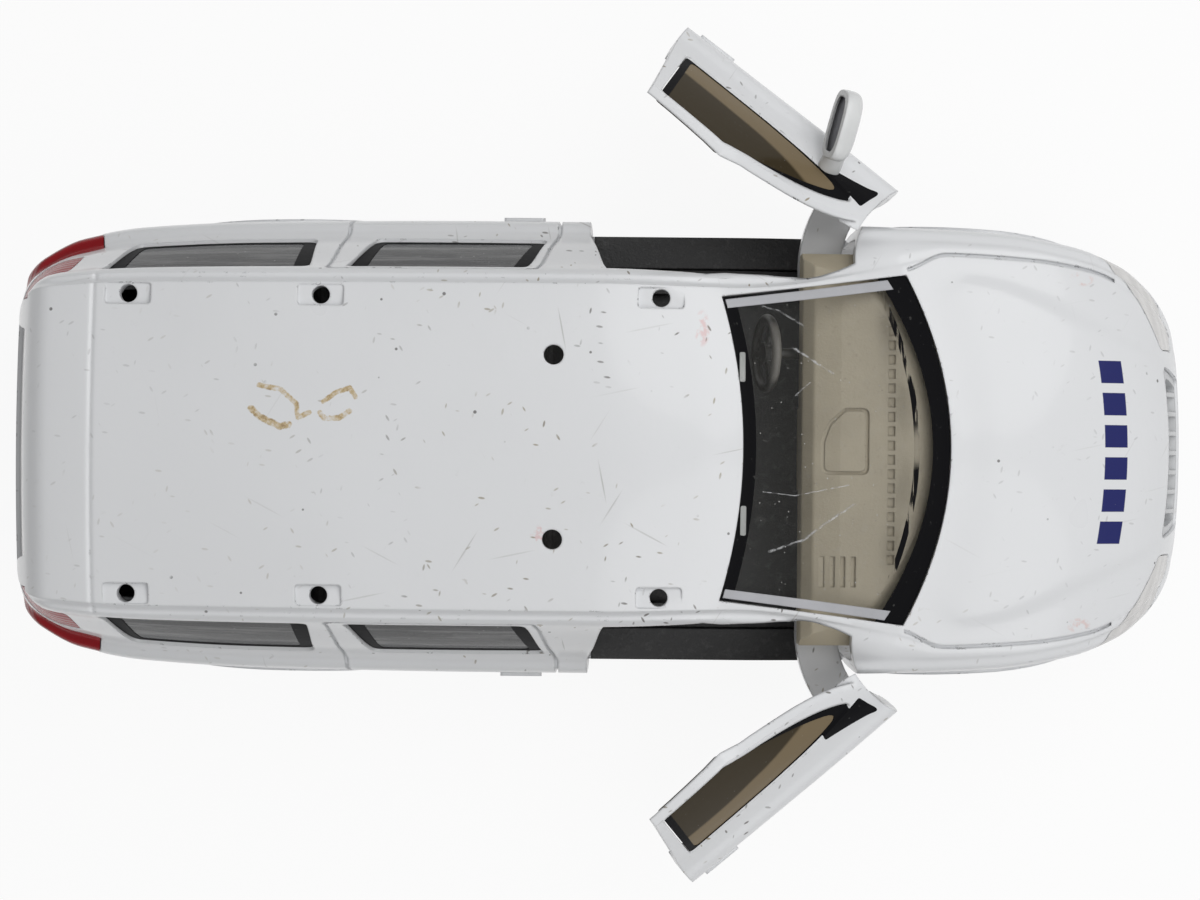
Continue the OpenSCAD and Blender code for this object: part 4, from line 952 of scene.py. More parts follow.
@dataclass(frozen=True)
class Enamel(Finish):
    """White enamel on a zinc casting, with rubbed edges, fine scratches and old marks."""

    name: str = "worn_white_enamel"
    colour: Colour = (0.76, 0.77, 0.785)
    zinc: Colour = (0.16, 0.16, 0.165)
    grime: Colour = (0.36, 0.35, 0.33)
    marks: bool = True
    glue: tuple[tuple[tuple[Point, ...], float], ...] = (
        (((-34.7, 3.6), (-33.7, 2.7), (-31.8, 1.8), (-30.9, 2.0)), 0.42),
        (((-33.9, 5.9), (-31.8, 5.5), (-30.2, 4.1), (-30.0, 2.7), (-28.9, 3.2)), 0.34),
        (((-27.5, 4.3), (-26.3, 5.2), (-24.9, 5.7), (-24.3, 4.8)), 0.32),
        (((-27.8, 3.2), (-27.3, 2.6), (-25.9, 2.7), (-24.9, 3.4)), 0.36))
    stains: tuple[tuple[Point, Point], ...] = (
        ((10.1, 12.0), (0.9, 2.0)), ((-5.9, -8.8), (1.1, 1.2)), ((-15.8, 9.7), (0.3, 0.3)))
    blocks: int = 6
    block_pitch: float = 3.4
    block_x: float = 54.6

    def paint(self, t: Tree, at: Wire) -> None:
        """Set up the material.

        Args:
            t: The material's tree.
            at: The place on the car as a vector.
        """
        x, y, z = t.split(at)
        cloud = t.noise(at, 0.05, 2.0)
        colour = t.mix(cloud.ramp(0.3, 0.75) * 0.35, self.colour, tuple(0.93 * c for c in self.colour))
        grime = t.noise(at, 0.9, 6.0, 0.7).ramp(0.60, 0.80) * t.noise(at, 0.12, 2.0).ramp(0.42, 0.72)
        colour = t.mix(grime * 0.22, colour, self.grime)
        fine, ticks = self.scratches(t, at)
        used = x.ramp(-48.0, 8.0) * x.ramp(40.0, 22.0) * 0.75 + 0.25
        fine = fine * t.noise(at, 0.06, 2.0).ramp(0.34, 0.54) * used
        ticks = ticks * t.noise(at, 0.16, 2.0).ramp(0.42, 0.58) * used
        colour = t.mix(fine * 0.55, colour, self.grime)
        colour = t.mix(ticks * 0.85, colour, t.mix(cloud.ramp(0.45, 0.55), (0.10, 0.09, 0.08), (0.24, 0.19, 0.10)))
        specks = t.cells(at, 0.36).ramp(0.075, 0.05) * t.noise(at, 0.3, 1.0).ramp(0.50, 0.60)
        colour = t.mix(specks * 0.8, colour, (0.07, 0.065, 0.06))
        printed: Wire | float = 0.0
        if self.marks:
            colour, printed = self.add_marks(t, x, y, z, at, colour)
        rounded_normal = t.soft_edge(0.32)
        rubbed = t.edges(rounded_normal).ramp(0.03, 0.16) * t.noise(at, 0.8, 5.0, 0.65).ramp(0.59, 0.63)
        colour = t.mix(rubbed, colour, self.zinc)
        t.set(Base_Color=colour, Roughness=0.24 + 0.12 * cloud + 0.25 * fine, Metallic=rubbed * 0.7,
              Coat_Weight=0.3 - 0.3 * rubbed.either(printed), Coat_Roughness=0.08, IOR=1.5, Specular_IOR_Level=0.3)
        relief = t.noise(at, 0.55, 2.0) * 0.5 - fine * 0.25 - rubbed * 0.8
        t.bump(relief, 0.05, rounded_normal)

    def scratches(self, t: Tree, at: Wire) -> tuple[Wire, Wire]:
        """Return masks of hairlines and of short ticks, each running several ways.

        Args:
            t: The material's tree.
            at: The place as a vector.

        Returns:
            The two masks.
        """
        fine = ticks = None
        for turn, seed in ((12.0, 3.1), (101.0, 17.7), (58.0, 31.3), (152.0, 47.9)):
            moved = t.node("ShaderNodeVectorMath", {"operation": "ADD"}, {0: at, 1: (seed, -seed, 0.0)})
            line = t.cells(t.stretched(moved, turn, (14.0, 0.55, 14.0)), 0.42).ramp(0.085, 0.035)
            tick = t.cells(t.stretched(moved, turn + 20, (1.7, 0.55, 1.7)), 0.45).ramp(0.115, 0.06)
            fine = line if fine is None else fine.either(line)
            ticks = tick if ticks is None else ticks.either(tick)
        return fine, ticks

    def add_marks(self, t: Tree, x: Wire, y: Wire, z: Wire, at: Wire, colour: Wire) -> tuple[Wire, Wire]:
        """Paint the old glue, rubbed colour and the printed blocks on the bonnet.

        Args:
            t: The material's tree.
            x: Place along the car.
            y: Place across the car.
            z: Height.
            at: The place as a vector.
            colour: Colour so far.

        Returns:
            The marked colour, and the mask of the blocks.
        """
        up = z.ramp(40.0, 42.0)
        rough = t.noise(at, 0.7, 4.0, 0.6)
        fleck = rough.ramp(0.46, 0.60)
        smear = t.noise(at, 1.3, 5.0, 0.7)
        for path, wide in self.glue:
            kept = (t.stroke(x, y, path, 1.6 * wide) * 1.25 - smear * 1.6).ramp(0.05, 0.6)
            old_glue = t.mix(smear.ramp(0.35, 0.5), (0.28, 0.16, 0.025), (0.50, 0.35, 0.12))
            colour = t.mix(kept * up * 0.85, colour, old_glue)
        for spot, size in self.stains:
            colour = t.mix(t.spot(x, y, spot, size) * fleck * up * 0.4, colour, (0.66, 0.22, 0.20))
        bonnet = z.ramp(22.0, 24.0) * z.ramp(34.0, 32.0)
        edge = ((y.math("ABSOLUTE") - 18.4) / 0.9) ** 2 + ((x - 51.0) / 1.5) ** 2
        colour = t.mix(edge.ramp(1.0, 0.2) * fleck * bonnet * 0.35, colour, (0.62, 0.20, 0.12))
        end = self.blocks * self.block_pitch / 2
        in_row = (((y + end) / self.block_pitch).math("FRACT") - 0.5).math("ABSOLUTE")
        bow = ((x + 0.008 * y * y) - self.block_x).math("ABSOLUTE")
        block = in_row.ramp(0.36, 0.34) * bow.ramp(1.32, 1.24) * y.math("ABSOLUTE").ramp(end + 0.05, end - 0.05)
        block = block * bonnet * rough.ramp(0.78, 0.68)
        return t.mix(block, colour, (0.004, 0.008, 0.11)), block


@dataclass(frozen=True)
class Pane(Finish):
    """Moulded clear or tinted window plastic, with dust, streaks and cracks, and where set, a lighter band painted at
    its foot.
    """

    name: str
    tint: Colour
    cover: float
    dust: float = 0.2
    cracks: tuple[tuple[Point, ...], ...] = ()
    streaks: float = 0.0
    gloss: float = 0.12
    painted_ledge_light: tuple[float, Colour] | None = None

    def paint(self, t: Tree, at: Wire) -> None:
        """Set up the material.

        Args:
            t: The material's tree.
            at: The place on the car as a vector.
        """
        x, y, z = t.split(at)
        cloud = t.noise(at, 0.25, 4.0, 0.6)
        tint: Wire | Colour = self.tint
        # Painted light: below the given height the tint turns a lighter brown, standing for the lit top of the door
        # card behind the glass.
        if self.painted_ledge_light:
            edge = z + t.noise(at, 0.1, 1.0) * 0.8 - self.painted_ledge_light[0]
            tint = t.mix(edge.ramp(0.55, 0.05), tint, self.painted_ledge_light[1])
        if self.streaks:
            run = t.noise(t.stretched(at, 0.0, (14.0, 1.0, 0.9)), 0.9, 4.0, 0.7)
            tint = t.mix(run.ramp(0.42, 0.70) * self.streaks, tint, (0.42, 0.42, 0.42))
        dirt = t.noise(at, 1.6, 5.0, 0.7).ramp(0.56, 0.78) * cloud.ramp(0.35, 0.7)
        specks = t.cells(at, 1.1).ramp(0.10, 0.05) * t.noise(at, 0.5, 1.0).ramp(0.5, 0.6)
        haze = (dirt * self.dust).either(specks * min(1.0, 3 * self.dust))
        colour = t.mix(haze, tint, (0.62, 0.62, 0.60))
        cover = haze * 0.7 + self.cover
        for i, path in enumerate(self.cracks):
            wide = 0.07 + 0.09 * (i % 2)
            line = t.stroke(x, y, path, wide) * t.noise(at, 1.3, 5.0, 0.75).ramp(0.36, 0.60)
            colour, cover = t.mix(line, colour, (0.58, 0.59, 0.60)), cover.either(line * 0.55)
        t.set(Base_Color=colour, Roughness=0.12 + 0.25 * haze, Alpha=cover, IOR=1.45, Specular_IOR_Level=self.gloss)
        t.bump(cloud, 0.03)


@dataclass(frozen=True)
class Moulding(Finish):
    """Moulded plastic with a fine grain and a little rubbed dust, and where set, painted shade below a given height.
    """

    name: str
    colour: Colour
    rough: float = 0.55
    grain: float = 0.02
    dust: float = 0.25
    painted_shade_below: float | None = None

    def paint(self, t: Tree, at: Wire) -> None:
        """Set up the material.

        Args:
            t: The material's tree.
            at: The place on the car as a vector.
        """
        cloud = t.noise(at, 0.12, 3.0)
        fine = t.noise(at, 3.2, 2.0, 0.6)
        pale = tuple(0.55 * c + 0.45 * 0.45 for c in self.colour)
        dark = tuple(0.72 * c for c in self.colour)
        colour = t.mix(cloud.ramp(0.3, 0.7) * 0.5, self.colour, dark)
        # Painted shade: below the given height the colour falls to a dark copy, so only the top keeps the plastic's
        # lit colour.
        if self.painted_shade_below is not None:
            low = t.split(at)[2].ramp(self.painted_shade_below, self.painted_shade_below - 1.2)
            colour = t.mix(low, colour, tuple(0.12 * c for c in self.colour))
        dusty = t.noise(at, 0.8, 5.0, 0.7).ramp(0.5, 0.8) * self.dust
        rounded_normal = t.soft_edge(0.2)
        worn = t.edges(rounded_normal).ramp(0.02, 0.2) * fine.ramp(0.4, 0.6) * 0.35
        colour = t.mix(dusty.either(worn), colour, pale)
        t.set(Base_Color=colour, Roughness=self.rough - 0.12 * cloud + 0.2 * dusty, IOR=1.48)
        t.bump(fine, self.grain, rounded_normal)


@dataclass(frozen=True)
class PrintedBlack(Finish):
    """Black print round the windows, scuffed, and flaked off where it is broken."""

    name: str = "chipped_black_print"
    broken: float = 0.0

    def paint(self, t: Tree, at: Wire) -> None:
        """Set up the material.

        Args:
            t: The material's tree.
            at: The place on the car as a vector.
        """
        fine = t.noise(at, 1.4, 5.0, 0.65)
        scuffs = fine.ramp(0.64, 0.74) * 0.3
        colour = t.mix(scuffs, (0.007, 0.007, 0.008), (0.20, 0.20, 0.19))
        kept: Wire | float = 1.0
        if self.broken:
            flakes = t.noise(t.stretched(at, 0.0, (1.2, 9.0, 9.0)), 0.9, 3.0, 0.6)
            kept = flakes.ramp(self.broken, self.broken + 0.05) * t.noise(at, 0.1, 1.0).ramp(0.40, 0.46)
        t.set(Base_Color=colour, Roughness=0.38 + 0.3 * scuffs, Alpha=kept, Specular_IOR_Level=0.02)
        t.bump(fine, 0.02)


@dataclass(frozen=True)
class Lens(Finish):
    """Glossy lamp plastic with moulded flutes."""

    name: str
    colour: Colour
    flutes: float = 1.1
    gloss: float = 0.4
    shade: float = 0.45

    def paint(self, t: Tree, at: Wire) -> None:
        """Set up the material.

        Args:
            t: The material's tree.
            at: The place on the car as a vector.
        """
        z = t.split(at)[2]
        wave = ((z * self.flutes).math("FRACT") - 0.5).math("ABSOLUTE")
        cloud = t.noise(at, 0.5, 3.0)
        dark = tuple(self.shade * c for c in self.colour)
        colour = t.mix(wave.ramp(0.05, 0.4) * 0.3 + cloud * 0.3, self.colour, dark)
        t.set(Base_Color=colour, Roughness=0.16 + 0.1 * cloud, IOR=1.5, Specular_IOR_Level=self.gloss)
        t.bump(wave, 0.05)


@dataclass(frozen=True)
class Metal(Finish):
    """Bare or plated metal with a brushed grain."""

    name: str
    colour: Colour
    rough: float = 0.28

    def paint(self, t: Tree, at: Wire) -> None:
        """Set up the material.

        Args:
            t: The material's tree.
            at: The place on the car as a vector.
        """
        grain = t.noise(t.stretched(at, 0.0, (1.0, 8.0, 1.0)), 2.5, 3.0)
        tarnish = t.noise(at, 0.35, 4.0, 0.6).ramp(0.45, 0.75)
        colour = t.mix(tarnish * 0.5, self.colour, tuple(0.45 * c for c in self.colour))
        t.set(Base_Color=colour, Roughness=self.rough + 0.15 * grain + 0.15 * tarnish, Metallic=1.0 - 0.3 * tarnish)
        t.bump(grain, 0.01)


@dataclass(frozen=True)
class Rubber(Finish):
    """Soft black tyre plastic with a dusty tread."""

    name: str = "dusty_tyre"
    colour: Colour = (0.022, 0.022, 0.023)

    def paint(self, t: Tree, at: Wire) -> None:
        """Set up the material.

        Args:
            t: The material's tree.
            at: The place on the car as a vector.
        """
        fine = t.noise(at, 2.2, 4.0)
        dust = t.noise(at, 0.5, 5.0, 0.7).ramp(0.42, 0.75)
        colour = t.mix(dust * 0.4, self.colour, (0.13, 0.125, 0.12))
        t.set(Base_Color=colour, Roughness=0.62 + 0.25 * dust, IOR=1.45)
        t.bump(fine, 0.03)


class Finishes:
    """The finishes of this car, by what they are on."""

    enamel = Enamel()
    door_enamel = Enamel(name="worn_white_door_enamel", marks=False)
    print = PrintedBlack()
    broken_print = PrintedBlack(name="broken_black_print", broken=0.46)
    trim = Moulding("pale_pillar_strip", (0.47, 0.475, 0.50), 0.35, 0.015, 0.5)
    clip = Moulding("grey_clip_plastic", (0.34, 0.35, 0.34), 0.25, 0.05, 0.9)
    screen = Pane("cracked_clear_screen", (0.10, 0.10, 0.095), 0.10, 0.42, (
        ((16.0, 14.6), (18.2, 14.1), (21.2, 12.4)),
        ((19.5, 10.4), (21.3, 9.3), (23.8, 7.8)),
        ((16.4, -4.3), (19.8, -4.7), (25.6, -3.6)),
        ((17.2, -10.4), (20.9, -9.2), (23.5, -7.3), (26.2, -5.6)),
        ((19.7, 5.4), (21.3, 6.8))))
    grey_pane = Pane("grey_side_pane", (0.075, 0.076, 0.078), 0.88, 0.16, streaks=0.35)
    tail_pane = Pane("pale_tailgate_pane", (0.40, 0.405, 0.41), 0.94, 0.16, gloss=1.0)
    # Dark smoked tint, made near opaque so it also paints the shade of the space behind the glass, with a painted lit
    # ledge at its foot.
    brown_pane = Pane(
        "brown_door_pane", (0.050, 0.038, 0.021), 0.95, 0.04, gloss=0.05, painted_ledge_light=(34.0, (0.215, 0.165, 0.098)))
    red = Lens("red_lamp_lens", (0.36, 0.008, 0.014), gloss=0.1)
    pale = Lens("pale_lamp_lens", (0.76, 0.75, 0.74), 0.8, shade=0.72)
    tan = Moulding("tan_dash_plastic", (0.54, 0.48, 0.36), 0.5, 0.03, 0.3)
    brown = Moulding("brown_card_plastic", (0.27, 0.215, 0.13), 0.5, 0.03, 0.2)
    dark = Moulding("dark_cabin_plastic", (0.035, 0.036, 0.037), 0.55, 0.03, 0.35)
    seat = Moulding("dark_seat_plastic", (0.028, 0.027, 0.027), 0.6, 0.05, 0.3)
    black = Moulding("black_base_plastic", (0.016, 0.016, 0.017), 0.5, 0.03, 0.3)
    grille = Moulding("silver_grille_paint", (0.56, 0.57, 0.58), 0.35, 0.02, 0.2)
    white = Moulding("white_mirror_plastic", (0.74, 0.75, 0.75), 0.3, 0.01, 0.2)
    silver = Metal("silver_hub_paint", (0.55, 0.56, 0.57), 0.35)
    steel = Metal("bright_steel", (0.62, 0.61, 0.59), 0.25)
    foil = Metal("mirror_foil", (0.10, 0.10, 0.11), 0.25)
    brass = Metal("cut_brass", (0.72, 0.52, 0.20), 0.28)
    ivory = Moulding("ivory_gear_plastic", (0.66, 0.62, 0.52), 0.45, 0.01, 0.15)
    tyre = Rubber()


# Sub-assemblies


def place(thing: bpy.types.Object, finish: Finish, body: str, slot: str, *nodes: str) -> bpy.types.Object:
    """Dress a finished piece and set it on its body.

    Args:
        thing: The piece.
        finish: Its finish.
        body: The body that it rides on.
        slot: Material slot of the record; not used.
        nodes: Solids that it stands for.

    Returns:
        The piece.
    """
    BENCH.smooth(thing)
    finish.dress(thing)
    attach(thing, body)
    if nodes:
        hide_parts(*nodes)
    LOG.info("%s: %d faces on %s", thing.name, len(thing.data.polygons), body)
    return thing


@dataclass
class Casting:
    """The die-cast body with its openings, seams and roof holes."""

    form: BodyForm
    lines: Outlines
    arch_clear: float = 1.2
    arch_y: float = 13.0
    lip: float = 0.45
    lip_w: float = 1.3
    seam_w: float = 0.35
    light_bar: tuple[float, float, float] = (-4.7, 9.2, 1.0)
    rail_x: tuple[float, float, float] = (-47.3, -28.0, 6.0)
    rail_y: float = 15.0
    rail_r: float = 0.9
    pad: tuple[float, float, float] = (4.6, 2.1, 0.3)
    handle: tuple[Point, Point] = ((-10.4, 24.9), (-6.0, 25.9))
    bumper_z: tuple[float, float] = (16.4, 15.4)
    rear_plate: tuple[float, float, float] = (6.5, 23.0, 26.4)
    front_plate: tuple[float, float, float] = (6.5, 11.4, 14.4)

    def openings(self) -> list[Solid]:
        """Return the solids that open the casting, in groups that don't touch.

        Returns:
            The windows, lamps, arches and light bar holes as one, and the left door's opening.
        """
        f, o = self.form, self.lines
        door = across(o.door, o.depth_in, o.reach)
        left = [o.sideways(o.quarter), o.sideways(o.rear_door_window), o.headlamp(), *o.tail_lamp()]
        left += [across(circle((x, o.wheel_r), o.wheel_r + self.arch_clear), self.arch_y, o.reach) for x in o.axles]
        x, y, radius = self.light_bar
        middle = [
            upright(o.screen(), f.shoulder, 2 * f.roof),
            along(rounded(o.tailgate_window, 1.5), -f.end - 1, f.seam_x - 3), o.grille(),
            *[upright(circle((x, side.value * y), radius, 40), 38, 52) for side in reversed(Side)]]
        return [Solid.group(left + [s.mirrored() for s in left] + middle), door]

    def pads(self) -> list[Solid]:
        """Return the shallow pads round the rail holes, and the holes.

        Returns:
            Two groups to cut away.
        """
        pads, holes = [], []
        for x in self.rail_x:
            for y in (self.rail_y, -self.rail_y):
                top = self.form.roof_z(x, y) - self.pad[2]
                w, d = self.pad[0] / 2, self.pad[1] / 2
                pads.append(upright(rounded(rectangle((x - w, y - d), (x + w, y + d)), 0.4), top, top + 4))
                holes.append(upright(circle((x, y), self.rail_r, 40), 36, 52))
        return [Solid.group(pads), Solid.group(holes)]

    def seams(self) -> bpy.types.Object:
        """Return the grooves of the panel gaps and the plate recesses as one tool.

        Returns:
            The object to cut away.
        """
        f, o, w = self.form, self.lines, self.seam_w
        rear = BENCH.make("rear_gap", o.sideways(o.rear_door, 0.8))
        BENCH.act(rear, Cut.AWAY, o.sideways(grown(o.rear_door, -w), 0.6),
                  across(circle((o.axles[1], o.wheel_r), o.wheel_r + 3.2), 10, o.reach + 2))
        xs = np.linspace(f.screen_base + 0.6, f.end - 9, 40)
        hook = 1.5 * (1 - eased((xs - xs[0]) / 4.5))
        edge = f.edge.at(xs) + 0.45 - 0.5 * hook
        strip = np.concatenate([np.stack([xs, edge], 1), np.stack([xs, edge - w], 1)[::-1]])
        bonnet = upright([tuple(q) for q in strip], 18, 40)
        tool = BENCH.act(rear, Cut.JOIN, bonnet)
        twin = BENCH.make("twin", Solid.of(tool).mirrored())
        r, (rear_z, front_z) = o.reach, self.bumper_z
        (rear_y, rear_low, rear_high), (front_y, front_low, front_high) = self.rear_plate, self.front_plate
        blocks = [
            box((-f.end - 1, -r, rear_z), (-f.end + 15, r, rear_z + w)),
            box((f.end - 13, -r, front_z), (f.end + 1, r, front_z + w)),
            box((-f.end - 1, -rear_y, rear_low), (-f.end + 7, rear_y, rear_high)),
            box((f.end - 7, -front_y, front_low), (f.end + 1, front_y, front_high))]
        BENCH.act(tool, Cut.JOIN, twin, *blocks)
        return BENCH.act(tool, Cut.AWAY, f.loft(f.seam_depth))

    def raised(self) -> list[bpy.types.Object]:
        """Return the arch lips and the rear door handles, which stand out of the casting.

        Returns:
            The objects to join.
        """
        f, o = self.form, self.lines
        shapes = []
        for x in o.axles:
            disc = circle((x, o.wheel_r), o.wheel_r + self.arch_clear + self.lip_w, 72)
            disc = [(a, max(b, f.sill + 0.3)) for a, b in disc]
            flat = [q for i, q in enumerate(disc) if q != disc[i - 1]]
            shapes.append((flat, self.arch_y, self.lip))
        shapes.append((rounded(rectangle(*self.handle), o.handle_r), o.depth_in, o.handle_stand))
        made = []
        for outline, y, stand in shapes:
            for keep in (across(outline, y, o.reach), across(outline, -o.reach, -y)):
                made.append(f.skin("raised", -stand, f.wall / 2, keep, plain=True))
        return made

    def build(self) -> None:
        """Make the casting."""
        f, o = self.form, self.lines
        body = BENCH.make("body_casting", f.loft(0))
        BENCH.act(body, Cut.JOIN, *self.raised())
        BENCH.act(body, Cut.AWAY, f.loft(f.wall, plain=True), self.seams())
        main, door = self.openings()
        BENCH.act(body, Cut.AWAY, main)
        pivot = upright(circle(o.hinge, o.door_edge - o.door_gap, 96), *TALL)
        for hole, post in ((door, pivot), (door.mirrored(), pivot.mirrored())):
            BENCH.act(body, Cut.AWAY, BENCH.act(BENCH.make("aperture", hole), Cut.AWAY, post))
        BENCH.act(body, Cut.AWAY, *self.pads())
        place(body, Finishes.enamel, "car", "paint", "body_shell")


def edging(name: str, form: BodyForm, lines: Outlines, outline: Sequence[Point], rim: float, ends: Sequence[float],
           depth: float, corner: float = 1.0) -> bpy.types.Object:
    """Return the print round the edge of a window on the left flank.

    Args:
        name: Name of the object.
        form: The body's form.
        lines: Its outlines.
        outline: Corners of the window.
        rim: Width of the print.
        ends: Further shift along the car of each inner corner.
        depth: Depth of the pane's face.
        corner: Radius of the outer corners.

    Returns:
        The print, a thin skin on the pane.
    """
    inner = [(x + e, z) for (x, z), e in zip(grown(outline, -rim), ends)]
    ring = BENCH.make(name, lines.sideways(grown(outline, -0.1), corner))
    BENCH.act(ring, Cut.AWAY, across(rounded(inner, 0.7), lines.depth_in - 2, lines.reach + 2))
    return form.layer(ring, depth - 0.06, depth + 0.1)


@dataclass
class Glazing:
    """Fixed windows of the body, with their black print."""

    form: BodyForm
    lines: Outlines
    pane_d: float = 0.35
    pane_in: float = 1.3
    print_in: float = 0.12
    fit: float = 0.1
    side_fit: float = 1.2
    print_w: float = 0.6
    end_w: float = 1.25
    strip_w: float = 0.95
    base_strip: Point = (1.9, 3.3)
    worn_strip: Point = (0.6, 0.7)
    strip_foot: Point = (5.0, 7.2)
    clips: tuple[Point, ...] = ((14.2, 8.2), (14.4, -7.2))
    clip_half: Point = (0.3, 1.5)

    def build(self) -> None:
        """Make the windscreen, the side windows and the tailgate window."""
        f, o, d = self.form, self.lines, self.pane_d
        shape = upright(o.screen(-self.fit, -self.side_fit), f.shoulder, 2 * f.roof)
        place(f.skin("windscreen_pane", d, self.pane_in, shape), Finishes.screen, "car", "clear_glass", "windscreen")
        gate = along(rounded(grown(o.tailgate_window, -self.fit), 1.4), -f.end - 1, f.seam_x - 3)
        place(f.skin("tailgate_pane", d, self.pane_in, gate), Finishes.tail_pane, "car", "grey_glass", "rear_glass")
        for side in Side:
            name, windows = side.label, (o.quarter, o.rear_door_window)
            panes = [o.sideways(grown(s, -self.fit)) for s in windows]
            turned = [s if side is Side.LEFT else s.mirrored() for s in panes]
            pane = f.skin(f"{name}_side_panes", d, self.pane_in, Solid.group(turned))
            place(pane, Finishes.grey_pane, "car", "grey_glass", f"{name}_side_glass")
            ends = (self.end_w, -self.end_w, -0.6 * self.end_w, 0.3 * self.end_w)
            rings = [edging(f"{name}_window_print", f, o, s, self.print_w, ends, d) for s in windows]
            border = BENCH.act(rings[0], Cut.JOIN, rings[1])
            place(BENCH.pose(border, side), Finishes.print, "car", "dark_plastic")
        self.screen_trim()

    def screen_trim(self) -> None:
        """Make the prints along the screen's base and top, the pale strips by its pillars and the clips."""
        f, o, d, deep = self.form, self.lines, self.pane_d, self.pane_d + self.print_in
        low, high = f.shoulder - 4, 2 * f.roof
        past = (low - 2, high + 2)
        base = upright(o.screen(-self.fit, -self.fit, inner=self.base_strip), low, high)
        place(f.skin("screen_base_print", d - 0.08, deep, base), Finishes.print, "car", "dark_plastic")
        worn = upright(o.screen(-3.5, -1.5, inner=self.worn_strip), low, high)
        place(f.skin("screen_worn_print", d - 0.05, deep, worn), Finishes.broken_print, "car", "dark_plastic")
        top = BENCH.make("screen_top_print", upright(o.screen(-self.fit, -self.fit), low, high))
        BENCH.act(top, Cut.AWAY, upright(o.screen(-1.35, 0.5), *past),
                  box((f.roof_front + 8, -40, 0), (80, 40, 99)))
        place(f.layer(top, d - 0.08, deep), Finishes.print, "car", "dark_plastic")
        strips = BENCH.make("pillar_strips", upright(o.screen(-0.3, -0.3), low, high))
        BENCH.act(strips, Cut.AWAY, upright(o.screen(0.2, -0.3 - self.strip_w), *past),
                  upright(o.screen(4.0, 4.0, inner=self.strip_foot), *past))
        place(f.layer(strips, d - 0.12, deep), Finishes.trim, "car", "grey_plastic")
        tabs, (w, h) = [], self.clip_half
        for x, y in self.clips:
            tabs.append(upright(rounded(rectangle((x - w, y - h), (x + w, y + h)), 0.2), low, high))
        place(f.skin("screen_clips", 0.08, deep, Solid.group(tabs)), Finishes.clip, "car", "grey_plastic")


@dataclass
class Lamps:
    """Headlamps, tail lamps and grille."""

    form: BodyForm
    lines: Outlines
    fit: float = 0.1
    lens_d: float = 0.05
    head_in: float = 1.2
    tail_in: float = 1.7
    back_d: Point = (0.9, 2.0)
    rim_d: Point = (0.25, 1.1)
    rim_w: float = 0.9
    bars: int = 9
    bar_half: float = 0.25
    bars_reach: float = 8.4

    def build(self) -> None:
        """Make the lamps and the grille."""
        f, o = self.form, self.lines
        for side in Side:
            name = side.label
            head = f.skin(f"{name}_headlamp_lens", self.lens_d, self.head_in, o.headlamp(-self.fit))
            place(BENCH.pose(head, side), Finishes.pale, "car", "lamp_lens", f"{name}_headlamp")
            tail = f.skin(f"{name}_tail_lens", self.lens_d, self.tail_in, Solid.group(o.tail_lamp(-self.fit)))
            place(BENCH.pose(tail, side), Finishes.red, "car", "red_lens", f"{name}_tail_lamp")
        back = f.skin("grille_insert", *self.back_d, o.grille(-self.fit))
        rim = BENCH.make("rim", o.grille(-self.fit))
        BENCH.act(rim, Cut.AWAY, o.grille(-self.rim_w))
        w = self.bar_half
        slats = [box((f.end - 8, y - w, 15), (f.end + 2, y + w, 25))
                 for y in np.linspace(-self.bars_reach, self.bars_reach, self.bars)]
        grid = BENCH.act(BENCH.make("grid", o.grille(0.05 - self.rim_w)), Cut.KEEP, Solid.group(slats))
        BENCH.act(rim, Cut.JOIN, grid)
        BENCH.act(back, Cut.JOIN, f.layer(rim, *self.rim_d, plain=True))
        place(back, Finishes.grille, "car", "dark_plastic", "grille")


